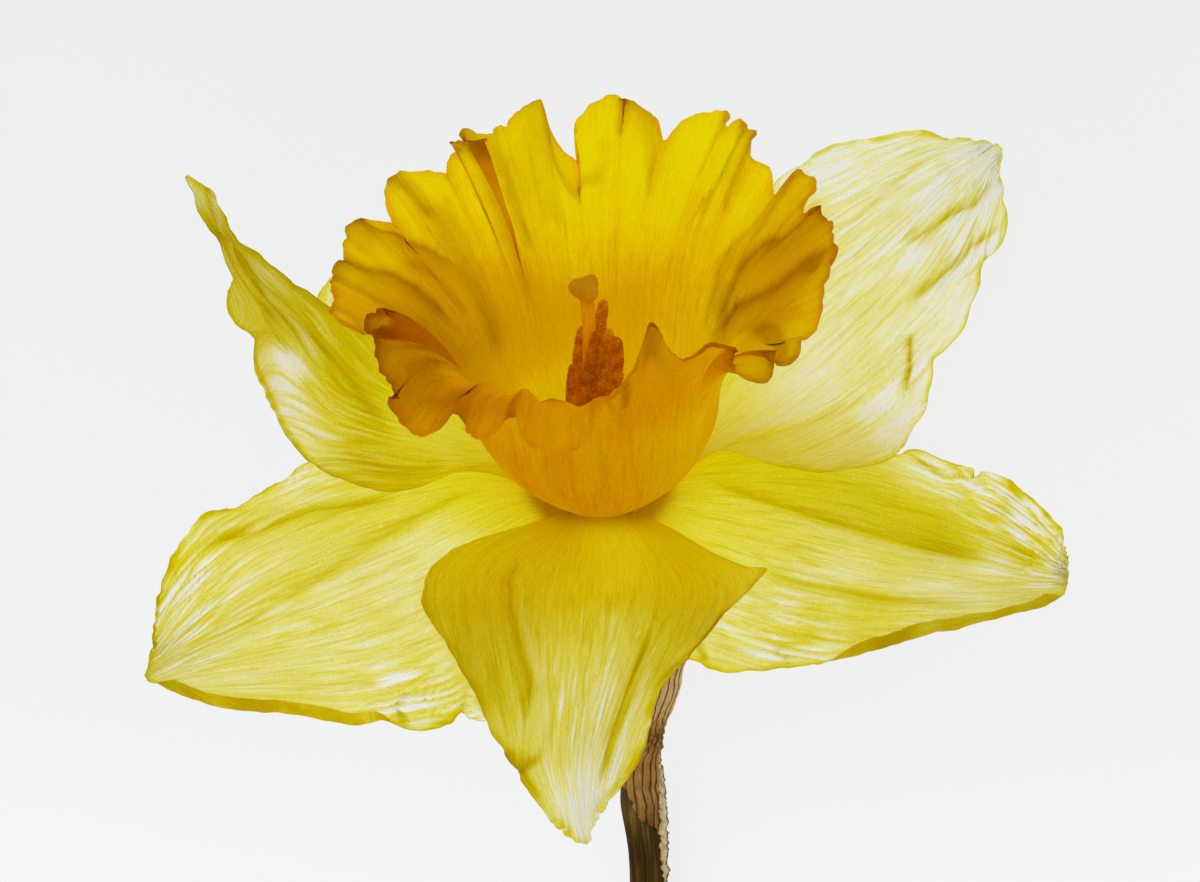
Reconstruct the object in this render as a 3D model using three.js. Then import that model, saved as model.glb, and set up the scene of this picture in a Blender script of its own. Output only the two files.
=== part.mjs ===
// A cut trumpet daffodil lying on a flat surface.
//
// Millimetres, +Z up. The surface is z = 0 and the stalk runs along -Y. The head leans on the tip of its
// hidden top petal and on the margin of its upper right petal; the stalk's far end lies flat.
//
// The head is built in a frame of its own: the origin is where the petals meet, +Z is the trumpet's axis and
// points out of its mouth, and angles go round that axis from +X towards +Y. Two turns then lay it down.

import * as THREE from "three";

// ---- driving dimensions ----------------------------------------------------------------------------------

const NOD = 51;                    // degrees between the trumpet's axis and the line of sight from above
const ROLL = 22.4;                 // degrees the head rolls over before two petals touch the surface
const HEAD = [-3.5, 22.3, 28.74];  // where the petals meet

const PETAL = 0.6;                 // thickness of a petal
const CLAW = 4.6;                  // distance from the axis to a petal's foot
const CLAW_HALF = 4;               // half the width of that foot
const INNER_FOOT = -0.6;           // height of the inner petals' feet on the axis
const OUTER_FOOT = -1.5;           // and of the outer petals' feet, one petal lower

const TRUMPET = 0.7;               // thickness of the trumpet's wall
const TRUMPET_LEAN = -0.06;        // sideways drift of the trumpet for each millimetre of height

const STALK = 2.2;                 // radius of the stalk

// ---- colours ---------------------------------------------------------------------------------------------

const finish = (color, roughness) => new THREE.MeshStandardMaterial({ color, roughness, metalness: 0 });
const petalYellow = finish("#d9cf4a", 0.55);
const petalPale = finish("#e3df8c", 0.55);
const trumpetGold = finish("#d9a800", 0.5);
const styleOchre = finish("#b98a10", 0.5);
const pollenRust = finish("#8a4b12", 0.9);
const stalkBrown = finish("#4a3721", 0.8);
const sheathTan = finish("#b09072", 0.85);

// ---- shared geometry -------------------------------------------------------------------------------------

const radians = THREE.MathUtils.degToRad;
const point = (p) => new THREE.Vector3(...p);
const curve = (points, closed = false) => new THREE.CatmullRomCurve3(points.map(point), closed, "catmullrom", 0.5);

/** A point on the parabola through `left`, `middle` and `right`, at `t` from +1 on the left to -1. */
function across(left, middle, right, t) {
  return new THREE.Vector3()
    .addScaledVector(left, (t * (t + 1)) / 2)
    .addScaledVector(middle, 1 - t * t)
    .addScaledVector(right, (t * (t - 1)) / 2);
}

/** Unit normals of a sheet given as rows of points; `ring` joins each row's end to its start. */
function normalsOf(sheet, ring) {
  const last = sheet[0].length - 1;
  return sheet.map((row, i) => row.map((_, j) => {
    const before = ring ? (j + last) % (last + 1) : Math.max(j - 1, 0);
    const after = ring ? (j + 1) % (last + 1) : Math.min(j + 1, last);
    const down = sheet[Math.max(i - 1, 0)][j];
    const up = sheet[Math.min(i + 1, sheet.length - 1)][j];
    const along = up.clone().sub(down);
    const over = row[after].clone().sub(row[before]);
    return along.cross(over).normalize();
  }));
}

/** A sheet of rows of points, thickened evenly to both sides into one closed solid. */
function slab(sheet, thickness, ring = false) {
  const normals = normalsOf(sheet, ring);
  const rows = sheet.length;
  const columns = sheet[0].length;
  const positions = [];
  for (const side of [1, -1]) {
    sheet.forEach((row, i) => row.forEach((p, j) => {
      positions.push(...p.clone().addScaledVector(normals[i][j], (side * thickness) / 2).toArray());
    }));
  }
  const front = (i, j) => i * columns + (j % columns);
  const back = (i, j) => rows * columns + front(i, j);
  const faces = [];
  const quad = (a, b, c, d) => faces.push(a, b, c, a, c, d);
  const strips = ring ? columns : columns - 1;
  for (let j = 0; j < strips; j += 1) {
    for (let i = 0; i < rows - 1; i += 1) {
      quad(front(i, j), front(i + 1, j), front(i + 1, j + 1), front(i, j + 1));
      quad(back(i, j), back(i, j + 1), back(i + 1, j + 1), back(i + 1, j));
    }
    quad(front(0, j), front(0, j + 1), back(0, j + 1), back(0, j));
    quad(front(rows - 1, j + 1), front(rows - 1, j), back(rows - 1, j), back(rows - 1, j + 1));
  }
  if (!ring) {
    for (let i = 0; i < rows - 1; i += 1) {
      quad(front(i + 1, 0), front(i, 0), back(i, 0), back(i + 1, 0));
      quad(front(i, columns - 1), front(i + 1, columns - 1), back(i + 1, columns - 1), back(i, columns - 1));
    }
  }
  const geometry = new THREE.BufferGeometry();
  geometry.setAttribute("position", new THREE.Float32BufferAttribute(positions, 3));
  geometry.setIndex(faces);
  geometry.computeVertexNormals();
  return geometry;
}

/** A round rod along a route of [x, y, z, radius], closed at both ends. */
function rod(route, sides, steps) {
  const line = curve(route.map(([x, y, z]) => [x, y, z]));
  const radii = curve(route.map((p) => [p[3], 0, 0]));
  const frames = line.computeFrenetFrames(steps, false);
  const positions = [];
  const faces = [];
  for (let i = 0; i <= steps; i += 1) {
    const u = i / steps;
    const centre = line.getPointAt(u);
    const radius = radii.getPoint(line.getUtoTmapping(u)).x;
    for (let k = 0; k < sides; k += 1) {
      const a = (2 * Math.PI * k) / sides;
      const p = centre.clone()
        .addScaledVector(frames.normals[i], radius * Math.cos(a))
        .addScaledVector(frames.binormals[i], radius * Math.sin(a));
      positions.push(...p.toArray());
    }
  }
  const at = (i, k) => i * sides + (k % sides);
  for (let i = 0; i < steps; i += 1) {
    for (let k = 0; k < sides; k += 1) {
      faces.push(at(i, k), at(i, k + 1), at(i + 1, k + 1), at(i, k), at(i + 1, k + 1), at(i + 1, k));
    }
  }
  for (let k = 1; k < sides - 1; k += 1) {
    faces.push(at(0, 0), at(0, k + 1), at(0, k), at(steps, 0), at(steps, k), at(steps, k + 1));
  }
  const geometry = new THREE.BufferGeometry();
  geometry.setAttribute("position", new THREE.Float32BufferAttribute(positions, 3));
  geometry.setIndex(faces);
  geometry.computeVertexNormals();
  return geometry;
}

/** A turned shape: `profile` is [radius, height] going up the outside and back to the start. */
function turned(profile, sides) {
  const geometry = new THREE.LatheGeometry(profile.map(([r, z]) => new THREE.Vector2(r, z)), sides);
  return geometry.rotateX(Math.PI / 2);
}

function node(name, geometry, material) {
  const mesh = new THREE.Mesh(geometry, material);
  mesh.name = name;
  return mesh;
}

// ---- petals ----------------------------------------------------------------------------------------------

// Each petal lies along a line at `angle` round the axis. Its rows run from foot to tip, and a row gives the
// left margin, the midrib and the right margin as [distance out, drift to the left, height].

const foot = (height) => [[CLAW, CLAW_HALF, height], [CLAW, 0, height], [CLAW, -CLAW_HALF, height]];

const PETALS = [
  { name: "tepal_front", angle: -90, material: petalYellow, rows: [
    foot(INNER_FOOT),
    [[10.5, 10, 0.4], [13.5, 0, 1], [8.5, -10, 0.4]],
    [[15, 15.5, 0.8], [23.5, -0.5, 3], [17.5, -17, 0.3]],
    [[27.5, 8.5, 1.5], [33, -1.5, 3], [27, -14, -0.5]],
    [[40, 4, 0], [41, -2.5, 1], [36.5, -9.5, -2.5]],
    [[45.5, 0.5, -2], [46.5, -2, -1], [43.5, -4, -3.5]],
    [[48, -1, -3], [48, -1.5, -3], [48, -2, -3]],
  ] },
  { name: "tepal_upper_left", angle: 150, material: petalYellow, rows: [
    foot(INNER_FOOT),
    [[9, 4.5, 0.2], [10, 0.5, 0.4], [12, -4, 0.8]],
    [[14.5, 11.5, 1], [15.5, 7, 5], [15.5, 3.5, 9]],
    [[23, 15.5, 4], [22, 12.5, 10], [19.5, 8.5, 15]],
    [[31.5, 13.5, 12], [28, 13, 16], [26, 10, 19]],
    [[35, 12, 18], [35, 10.5, 19.5], [33, 9.5, 21]],
    [[46, 3.5, 22], [46.5, 3, 22], [46, 2.5, 22]],
  ] },
  { name: "tepal_upper_right", angle: 34, material: petalPale, rows: [
    foot(INNER_FOOT),
    [[15, 7.5, 1], [11.5, 0.5, 0.7], [12, -4, 0.4]],
    [[27.5, 15.5, 9], [21.5, 1.5, 5], [17, -10.5, 1]],
    [[36, 16, 14], [30, 1.5, 9.5], [24, -16.5, 3]],
    [[43, 14.2, 16.3], [37, 1.5, 13], [33, -11, 8]],
    [[47.8, 8.8, 17.8], [45.2, 2.6, 16], [43.5, -6, 12]],
    [[52.3, 3.8, 18], [50.9, 1.6, 17.6], [47.6, -3.2, 15.8]],
  ] },
  { name: "tepal_lower_left", angle: -150, material: petalPale, rows: [
    foot(OUTER_FOOT),
    [[10, 12.5, -2], [9.5, -1.5, -1.5], [11.5, -10.5, -1.5]],
    [[22.5, 19.5, -2.5], [21, 1, -1], [20.5, -17.5, -1.5]],
    [[33.5, 20.5, -1.5], [31.5, 2.5, 0], [30.5, -15, 0]],
    [[41, 15, -0.5], [39.5, 3, 0.5], [38, -13.5, 1]],
    [[47.5, 10, 0], [45.5, 3.5, 0.5], [44, -7.5, 1]],
    [[51.5, 4.5, 0], [51, 3.5, 0], [48.5, 0, 0.5]],
  ] },
  { name: "tepal_top", angle: 103, material: petalPale, rows: [
    foot(OUTER_FOOT),
    [[12, 11, -1.5], [11, 0, -1.5], [11, -9, -1.5]],
    [[23, 20, 0], [21, 0, -1], [20, -15, -1]],
    [[34, 22.5, 1.5], [31, 0, 0], [28, -16, 1.5]],
    [[43, 14, 2], [40, 0, 1], [37, -13, 5]],
    [[47.5, 6, 2.4], [46.5, 0, 2], [44.5, -6, 4.3]],
    [[49.5, 1.5, 2.6], [49.5, 1, 2.6], [49.5, 0.5, 2.6]],
  ] },
  { name: "tepal_lower_right", angle: -24, material: petalPale, rows: [
    foot(OUTER_FOOT),
    [[8, 7, -1.5], [11, -0.5, -1.5], [11, -11, -2]],
    [[16, 13.5, -1.5], [21, -1, -0.5], [20.5, -19, -2]],
    [[25.5, 15.5, 0], [29.5, -1.5, 0.5], [28, -16, -1.5]],
    [[33.5, 14.5, 1.5], [37, -0.5, 1], [35, -9.5, -1]],
    [[41, 12, 1.5], [43.5, 1, 1], [42, -3, -0.5]],
    [[45.5, 8.5, 0.5], [47.5, 5, 0], [47.5, 3.5, 0]],
  ] },
];

const PETAL_STEPS = 16;
const PETAL_COLUMNS = 10;

function petal({ name, angle, rows, material }) {
  const [left, middle, right] = [0, 1, 2].map((k) => curve(rows.map((row) => row[k])));
  const sheet = [];
  for (let i = 0; i <= PETAL_STEPS; i += 1) {
    const s = i / PETAL_STEPS;
    const row = [];
    for (let j = 0; j <= PETAL_COLUMNS; j += 1) {
      const t = 1 - (2 * j) / PETAL_COLUMNS;
      row.push(across(left.getPoint(s), middle.getPoint(s), right.getPoint(s), t));
    }
    sheet.push(row);
  }
  return node(name, slab(sheet, PETAL).rotateZ(radians(angle)), material);
}

// ---- trumpet ---------------------------------------------------------------------------------------------

// The wall rises from the petals' feet to the shoulder, then bends to the ruffled rim.
const WALL = [[6.3, 0.5], [7.9, 2.1], [10.2, 4.9], [12, 8.8], [12.5, 12]];

// Points on the rim: [angle, radius, height, height of the bend that the wall takes on its way there].
const RIM = [
  [-178, 24.3, 26, 19], [-168, 24.8, 28.5, 21], [-157, 25, 30, 22], [-150, 22.5, 29, 22], [-147, 22, 29.5, 23],
  [-144, 23, 25, 26], [-140, 22.5, 19.5, 27], [-134, 22.5, 19, 27], [-128, 21.5, 20.2, 27], [-125, 19.5, 21, 27],
  [-120, 21, 20.5, 27], [-115, 20.5, 21, 27], [-111.5, 18.5, 22, 27], [-106, 20.2, 21, 27], [-98, 20.5, 20.3, 27],
  [-91, 20, 21, 27], [-85, 17, 22.5, 25], [-79, 14.8, 23, 20], [-73, 15, 25, 20], [-66, 16, 31, 24],
  [-60, 15.5, 27.5, 22], [-52, 15, 24.5, 20], [-45, 16, 24.5, 22], [-40, 20.5, 23.5, 24], [-35, 23, 26, 24],
  [-30, 23, 27, 23], [-25, 24.4, 29, 23], [-14, 24.2, 31, 24], [-2, 24.2, 30.5, 24], [8, 24, 29.5, 22],
  [14, 22.5, 29, 22], [20, 23.7, 30.3, 23], [26, 23.8, 30, 23], [31, 22, 27, 21], [37, 22.7, 28.3, 21],
  [41, 22, 30, 23], [46, 23.5, 31.3, 24], [49.5, 22.2, 30.5, 24], [54, 23.7, 31.3, 24], [62, 24.3, 29.3, 22],
  [68.5, 21.7, 27.2, 21], [76, 24.4, 29, 22], [83, 24.8, 29.5, 22], [88, 24.5, 28, 21], [91.5, 21.3, 24.3, 19],
  [96, 22.3, 26, 20], [100, 24.8, 29, 22], [105, 24.6, 28, 21], [111, 23.8, 27, 20], [118, 24.6, 27.2, 20],
  [123, 23, 27, 20], [127.5, 22.2, 24.6, 18], [133, 24.5, 25, 18], [140, 24.8, 25.4, 18], [148, 22, 24.2, 17],
  [156, 24.8, 24.5, 17], [162, 24.3, 24, 17], [167, 23.2, 24.6, 17], [173, 24.8, 25, 18],
];
const SHOULDER = 14.5;             // radius of the wall where it bends
const BEND_STEPS = 6;
const TRUMPET_COLUMNS = 96;

function trumpet() {
  const rim = new THREE.CatmullRomCurve3(RIM.map(([angle, radius, height]) => new THREE.Vector3(
    radius * Math.cos(radians(angle)), radius * Math.sin(radians(angle)), height)), true, "catmullrom", 0.5);
  const bends = new THREE.CatmullRomCurve3(RIM.map((p) => new THREE.Vector3(p[3], 0, 0)), true, "catmullrom", 0.5);
  const sheet = [...Array(WALL.length + BEND_STEPS)].map(() => []);
  for (let j = 0; j < TRUMPET_COLUMNS; j += 1) {
    const edge = rim.getPoint(j / TRUMPET_COLUMNS);
    const angle = Math.atan2(edge.y, edge.x);
    const radius = Math.hypot(edge.x, edge.y);
    const bend = bends.getPoint(j / TRUMPET_COLUMNS).x;
    const meridian = WALL.slice();
    const [startRadius, startHeight] = WALL[WALL.length - 1];
    for (let i = 1; i <= BEND_STEPS; i += 1) {
      const t = i / BEND_STEPS;
      const weight = [(1 - t) ** 2, 2 * t * (1 - t), t * t];
      meridian.push([
        weight[0] * startRadius + weight[1] * SHOULDER + weight[2] * radius,
        weight[0] * startHeight + weight[1] * bend + weight[2] * edge.z,
      ]);
    }
    meridian.forEach(([r, z], i) => {
      sheet[i].push(new THREE.Vector3(r * Math.cos(angle) + TRUMPET_LEAN * z, r * Math.sin(angle), z));
    });
  }
  return node("corona", slab(sheet, TRUMPET, true), trumpetGold);
}

// ---- tube, ovary, style and stamens ----------------------------------------------------------------------

const TUBE = [                     // the hollow funnel that the petals and the trumpet grow from
  [4.4, -2.15], [4.1, -5], [2.6, -11], [1.5, -19.5],
  [2.3, -19.8], [3.4, -11.2], [5, -5.2], [7, -2.9], [7, -2.15], [4.4, -2.15],
];
const OVARY = [[0, -30.6], [1.6, -30.1], [2.7, -28.3], [3.1, -25.5], [2.7, -22.7], [1.6, -20.9], [0, -20.4]];
const STYLE = [[0, -20.1], [0.6, -20], [0.65, 0], [0.7, 22.4], [1.5, 23.6], [1.45, 24.4], [0.7, 24.8], [0, 24.3]];
const STYLE_LEAN = -0.07;          // sideways drift of the style for each millimetre above the petals

const STAMENS = [                  // angle from the style, and the heights of the anther's ends
  { angle: 30, low: 12.8, high: 21.6 },
  { angle: 90, low: 9.8, high: 18.5 },
  { angle: 150, low: 9.6, high: 18.4 },
  { angle: 210, low: 8, high: 15.2 },
  { angle: 270, low: 10.8, high: 19.6 },
  { angle: 330, low: 10.4, high: 19.2 },
];
const ANTHER_OUT = 1.8;            // distance from the style to an anther
const ANTHER = 0.75;               // radius of an anther
const FILAMENT = 0.3;              // radius of a filament
const SEAT = 0.3;                  // gap between a piece and what it sits on

const styleAt = (height) => STYLE_LEAN * Math.max(0, height);

function style() {
  const geometry = turned(STYLE, 12);
  const position = geometry.attributes.position;
  for (let i = 0; i < position.count; i += 1) {
    position.setX(i, position.getX(i) + styleAt(position.getZ(i)));
  }
  return node("style_and_stigma", geometry, styleOchre);
}

function stamen({ angle, low, high }, number) {
  const place = (distance, height) => [
    styleAt(height) + distance * Math.cos(radians(angle)), distance * Math.sin(radians(angle)), height];
  const anther = rod([
    [...place(ANTHER_OUT, low), ANTHER * 0.55], [...place(ANTHER_OUT + 0.1, low + 1.5), ANTHER],
    [...place(ANTHER_OUT, (low + high) / 2), ANTHER], [...place(ANTHER_OUT - 0.1, high - 1.2), ANTHER * 0.8],
    [...place(ANTHER_OUT - 0.2, high), ANTHER * 0.3],
  ], 8, 8);
  const filament = rod([
    [...place(2.6, -8.5), FILAMENT], [...place(3.1, -6), FILAMENT], [...place(2.85, -1), FILAMENT],
    [...place(2.2, low - 3), FILAMENT], [...place(ANTHER_OUT, low - SEAT), FILAMENT * 0.8],
  ], 6, 12);
  return [node(`anther_${number}`, anther, pollenRust), node(`filament_${number}`, filament, styleOchre)];
}

// ---- stalk, sheath and pedicel, in the frame of the surface ----------------------------------------------

// Distances from the point of the surface below the flower head: [x, y, z, radius].
const PEDICEL = [
  [-7.3, -24.4, 11, 1.2], [-6.9, -27, 9, 1.2], [-6.5, -29.4, 7.5, 1.1], [-5.5, -31.4, 5.6, 1.05],
];
const SCAPE = [
  [-5.3, -32.2, 5, 1.7], [-5.2, -36, 3.6, 2.2], [-5.1, -42, 2.7, STALK], [-5.2, -50, 2.3, STALK],
  [-5.5, -60, 2.25, STALK], [-6, -72, 2.22, STALK], [-6.2, -83, 2.22, STALK],
];

// The papery sheath is a strip curled round the stalk's top, open on the side where the pedicel leaves it:
// [x, y, z, radius of the curl, half the sweep in degrees, the way its middle faces in degrees from +Z to +X].
const SHEATH = [
  [-5.15, -37.6, 3.3, 2.75, 6, 0], [-5.15, -35.6, 3.8, 2.7, 45, 0], [-5.2, -33.6, 4.4, 2.6, 85, 5],
  [-4.9, -31.6, 5.2, 2.6, 95, 65], [-3.6, -29.4, 6.4, 2, 88, 95], [-2.9, -27.3, 7.4, 1.6, 105, 75],
  [-2, -25, 8.2, 1.6, 115, 55], [-0.9, -22.7, 8.9, 1.8, 110, 40], [0.9, -19.3, 9.8, 1.8, 100, 30],
  [2.8, -15.5, 10.6, 1.4, 90, 20], [4.4, -12.4, 11.2, 0.6, 80, 20],
];
const SHEATH_WALL = 0.4;
const SHEATH_STEPS = 20;
const SHEATH_COLUMNS = 10;

function sheath() {
  const centres = curve(SHEATH.map(([x, y, z]) => [x, y, z]));
  const curls = curve(SHEATH.map(([, , , radius, sweep, facing]) => [radius, sweep, facing]));
  const sheet = [];
  for (let i = 0; i <= SHEATH_STEPS; i += 1) {
    const centre = centres.getPoint(i / SHEATH_STEPS);
    const [radius, sweep, facing] = curls.getPoint(i / SHEATH_STEPS).toArray();
    const row = [];
    for (let j = 0; j <= SHEATH_COLUMNS; j += 1) {
      const turn = radians(facing + sweep * (1 - (2 * j) / SHEATH_COLUMNS));
      row.push(new THREE.Vector3(radius * Math.sin(turn), 0, radius * Math.cos(turn)).add(centre));
    }
    sheet.push(row);
  }
  return node("spathe", slab(sheet, SHEATH_WALL), sheathTan);
}

// ---- the whole flower ------------------------------------------------------------------------------------

const blossom = new THREE.Group();
blossom.rotation.x = radians(-NOD);
blossom.add(...PETALS.map(petal), trumpet());
blossom.add(node("floral_tube", turned(TUBE, 24), petalYellow));
blossom.add(node("ovary", turned(OVARY, 20), finish("#7d7a35", 0.6)));
blossom.add(style(), ...STAMENS.flatMap((s, i) => stamen(s, i + 1)));

const head = new THREE.Group();
head.rotation.y = radians(ROLL);
head.position.set(...HEAD);
head.add(blossom);

const stem = new THREE.Group();
stem.position.set(HEAD[0], HEAD[1], 0);
stem.add(node("pedicel", rod(PEDICEL, 10, 8), sheathTan), node("scape", rod(SCAPE, 12, 24), stalkBrown));
stem.add(sheath());

const daffodil = new THREE.Group();
daffodil.add(head, stem);

export default daffodil;
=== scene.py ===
"""The looks of a cut trumpet daffodil that lies on a pale surface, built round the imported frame."""

import math

import bmesh
import bpy
import numpy as np
from mathutils import Matrix, Vector, noise


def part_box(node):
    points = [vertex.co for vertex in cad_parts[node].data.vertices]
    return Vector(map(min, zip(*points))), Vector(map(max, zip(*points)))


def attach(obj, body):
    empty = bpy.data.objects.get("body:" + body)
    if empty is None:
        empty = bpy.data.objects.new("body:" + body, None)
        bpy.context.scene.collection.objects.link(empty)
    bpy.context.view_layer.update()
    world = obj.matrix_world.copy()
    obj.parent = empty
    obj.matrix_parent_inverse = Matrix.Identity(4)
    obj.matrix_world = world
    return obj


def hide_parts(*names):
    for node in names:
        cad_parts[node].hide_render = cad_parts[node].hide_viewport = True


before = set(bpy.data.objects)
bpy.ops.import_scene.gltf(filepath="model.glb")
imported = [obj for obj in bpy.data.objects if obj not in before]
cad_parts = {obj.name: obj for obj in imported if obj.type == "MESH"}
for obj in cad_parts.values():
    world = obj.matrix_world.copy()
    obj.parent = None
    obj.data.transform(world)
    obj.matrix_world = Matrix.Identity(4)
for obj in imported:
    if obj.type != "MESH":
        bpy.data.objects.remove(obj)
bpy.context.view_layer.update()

# ---- stalk -----------------------------------------------------------------------------------------------
# The scape is the flower's hollow green stem, here dried to a dark, ribbed, slightly flattened straw.
# It was cut at the far end, where it lies flat, and the head nods from its other end.

MM = 0.001
STALK = 2.2
STALK_ROUTE = [                    # from the surface below the head: x, y, z, radius
    (-5.5, -32.2, 5.0, 1.6), (-5.55, -34.5, 4.1, 1.95), (-5.5, -37.2, 3.4, 1.85),
    (-5.35, -40.3, 2.95, 1.8), (-5.3, -43.0, 2.7, 1.85), (-5.3, -50.0, 2.3, 2.05),
    (-5.5, -60.0, 2.25, STALK), (-6.0, -72.0, 2.22, STALK), (-6.2, -83.0, 2.22, STALK),
]


def smooth_line(points, count, closed=False):
    """Evenly spaced points on a smooth line through `points`, each a row of numbers."""
    p = np.array(points, float)
    n = len(p)
    spans = n if closed else n - 1
    before = p[(np.arange(spans) - 1) % n] if closed else np.vstack([2 * p[0] - p[1], p[: spans - 1]])
    after = p[(np.arange(spans) + 2) % n] if closed else np.vstack([p[2:], 2 * p[-1] - p[-2]])
    start = p[np.arange(spans)]
    end = p[(np.arange(spans) + 1) % n]
    w = np.linspace(0, 1, 24, endpoint=False)[:, None, None]
    leave = (end - before) / 2
    reach = (after - start) / 2
    fine = ((2 * start - 2 * end + leave + reach) * w**3
            + (3 * end - 3 * start - 2 * leave - reach) * w**2 + leave * w + start)
    fine = fine.transpose(1, 0, 2).reshape(-1, p.shape[1])
    fine = np.vstack([fine, p[:1] if closed else p[-1:]])
    length = np.concatenate([[0], np.cumsum(np.linalg.norm(np.diff(fine[:, :3], axis=0), axis=1))])
    even = np.linspace(0, length[-1], count + 1)[:-1] if closed else np.linspace(0, length[-1], count)
    return np.stack([np.interp(even, length, fine[:, k]) for k in range(p.shape[1])], -1)


def meeting_place():
    """The place on the flower's axis where the petals meet, found from the middle of the seed case."""
    low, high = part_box("ovary")
    axis = HEAD_TURN @ Vector((0, 0, 1))
    return (low + high) / 2 + axis * SEED_CASE_TO_PETALS * MM


NOD = math.radians(51)             # how far the head is tipped from upright
ROLL = math.radians(22.4)          # how far it is rolled to one side
SEED_CASE_TO_PETALS = 25.5
HEAD_TURN = Matrix.Rotation(ROLL, 3, "Y") @ Matrix.Rotation(-NOD, 3, "X")
MEETING = meeting_place()
HEAD = Matrix.Translation(MEETING) @ HEAD_TURN.to_4x4() @ Matrix.Scale(MM, 4)
GROUND = Matrix.Translation((MEETING.x, MEETING.y, 0)) @ Matrix.Scale(MM, 4)


def sheet_of(name, points, place, attributes, closed=False, thickness=0):
    """A mesh of rows and columns of points, laid by a grid, with its own attributes and thickness."""
    rows, columns = points.shape[:2]
    bm = bmesh.new()
    bmesh.ops.create_grid(bm, x_segments=rows - 1, y_segments=columns - 1 + closed, size=1)
    layers = {key: (bm.verts.layers.float_vector if value.ndim == 3 else bm.verts.layers.float).new(key)
              for key, value in attributes.items()}
    for v in bm.verts:
        i = round((v.co.x + 1) / 2 * (rows - 1))
        j = round((v.co.y + 1) / 2 * (columns - 1 + closed)) % columns
        v.co = place @ Vector(points[i, j])
        for key, layer in layers.items():
            value = attributes[key][i, j]
            v[layer] = Vector(value) if attributes[key].ndim == 3 else float(value)
    if closed:
        bmesh.ops.remove_doubles(bm, verts=bm.verts, dist=1e-7)
    return finish_mesh(name, bm, thickness)


def finish_mesh(name, bm, thickness=0):
    """The bmesh as a smooth object, with a Solidify modifier where it is a sheet of a thickness in mm."""
    for face in bm.faces:
        face.smooth = True
    mesh = bpy.data.meshes.new(name)
    bm.to_mesh(mesh)
    bm.free()
    piece = bpy.data.objects.new(name, mesh)
    bpy.context.scene.collection.objects.link(piece)
    if thickness:
        wall = piece.modifiers.new("thickness", "SOLIDIFY")
        wall.thickness = thickness * MM
        wall.offset = 0
    return piece


def rod_of(name, route, sides, steps, place, swell):
    """A closed rod along a route of x, y, z, radius; swell(angle, length in mm) alters the radius."""
    line = smooth_line(route, steps)
    bm = bmesh.new()
    grow = bm.verts.layers.float_vector.new("grow")
    span = np.linalg.norm(np.diff(line[:, :3], axis=0), axis=1).sum()
    side = Vector((1, 0, 0))
    rings = []
    for i, (x, y, z, radius) in enumerate(line):
        ahead = Vector(line[min(i + 1, steps - 1)][:3]) - Vector(line[max(i - 1, 0)][:3])
        ahead.normalize()
        side = (side - ahead * side.dot(ahead)).normalized()
        up = ahead.cross(side)
        along = span * i / (steps - 1)
        ring = bmesh.ops.create_circle(bm, cap_ends=False, segments=sides, radius=1)["verts"]
        for v in ring:
            turn = math.atan2(v.co.y, v.co.x)
            r = radius * swell(turn, along)
            v.co = place @ (Vector((x, y, z)) + (side * math.cos(turn) + up * math.sin(turn)) * r)
            v[grow] = (math.cos(turn) * 2, math.sin(turn) * 2, along)
        rings.append(ring)
    for one, two in zip(rings, rings[1:]):
        for k in range(sides):
            m = (k + 1) % sides
            bm.faces.new((one[k], one[m], two[m], two[k]))
    bm.faces.new(rings[0])
    bm.faces.new(rings[-1])
    bmesh.ops.recalc_face_normals(bm, faces=bm.faces)
    return finish_mesh(name, bm)


def ribs(turn, along):
    """Eleven shallow ribs, a slow twist and the uneven shrinking of a dry stalk."""
    slow = noise.noise(Vector((math.cos(turn), math.sin(turn), along * 0.12)))
    fine = noise.noise(Vector((math.cos(turn) * 5, math.sin(turn) * 5, along * 0.25)))
    return 1 + 0.05 * math.cos(11 * turn + along * 0.05) + 0.1 * slow + 0.07 * fine


def new_material(name, roughness, gloss=0.1):
    material = bpy.data.materials.new(name)
    material.use_nodes = True
    shader = material.node_tree.nodes["Principled BSDF"]
    shader.inputs["Roughness"].default_value = roughness
    shader.inputs["Specular IOR Level"].default_value = gloss
    return material, material.node_tree, shader


def node_of(tree, kind, values=None, **settings):
    """A node with its settings and its sockets' values or links given by name."""
    made = tree.nodes.new("ShaderNode" + kind)
    for key, value in settings.items():
        setattr(made, key, value)
    for key, value in (values or {}).items():
        if isinstance(value, bpy.types.NodeSocket):
            tree.links.new(value, made.inputs[key])
        else:
            made.inputs[key].default_value = value
    return made


def ramp_of(tree, factor, stops):
    """A colour ramp over `factor` with stops of position and colour."""
    ramp = node_of(tree, "ValToRGB", {"Fac": factor})
    elements = ramp.color_ramp.elements
    while len(elements) < len(stops):
        elements.new(0.5)
    for element, (position, colour) in zip(elements, stops):
        element.position = position
        element.color = (*colour, 1)
    return ramp.outputs["Color"]


def growth_grain():
    """A group of noise that follows the way a piece grew, which its "grow" attribute holds in mm."""
    group = bpy.data.node_groups.new("growth_grain", "ShaderNodeTree")
    group.interface.new_socket("Scale", in_out="INPUT", socket_type="NodeSocketVector")
    for name in ("Detail", "Roughness", "Warp"):
        group.interface.new_socket(name, in_out="INPUT", socket_type="NodeSocketFloat")
    group.interface.new_socket("Mask", in_out="OUTPUT", socket_type="NodeSocketFloat")
    given = node_of(group, "Attribute", attribute_name="grow").outputs["Vector"]
    start = group.nodes.new("NodeGroupInput").outputs
    spread = node_of(group, "VectorMath", {0: given, 1: start["Scale"]},
                     operation="MULTIPLY").outputs["Vector"]
    cloud = node_of(group, "TexNoise", {"Vector": spread, "Scale": 1.0, "Detail": start["Detail"],
                                        "Roughness": start["Roughness"], "Distortion": start["Warp"]})
    group.links.new(cloud.outputs["Fac"], group.nodes.new("NodeGroupOutput").inputs["Mask"])
    return group


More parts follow.
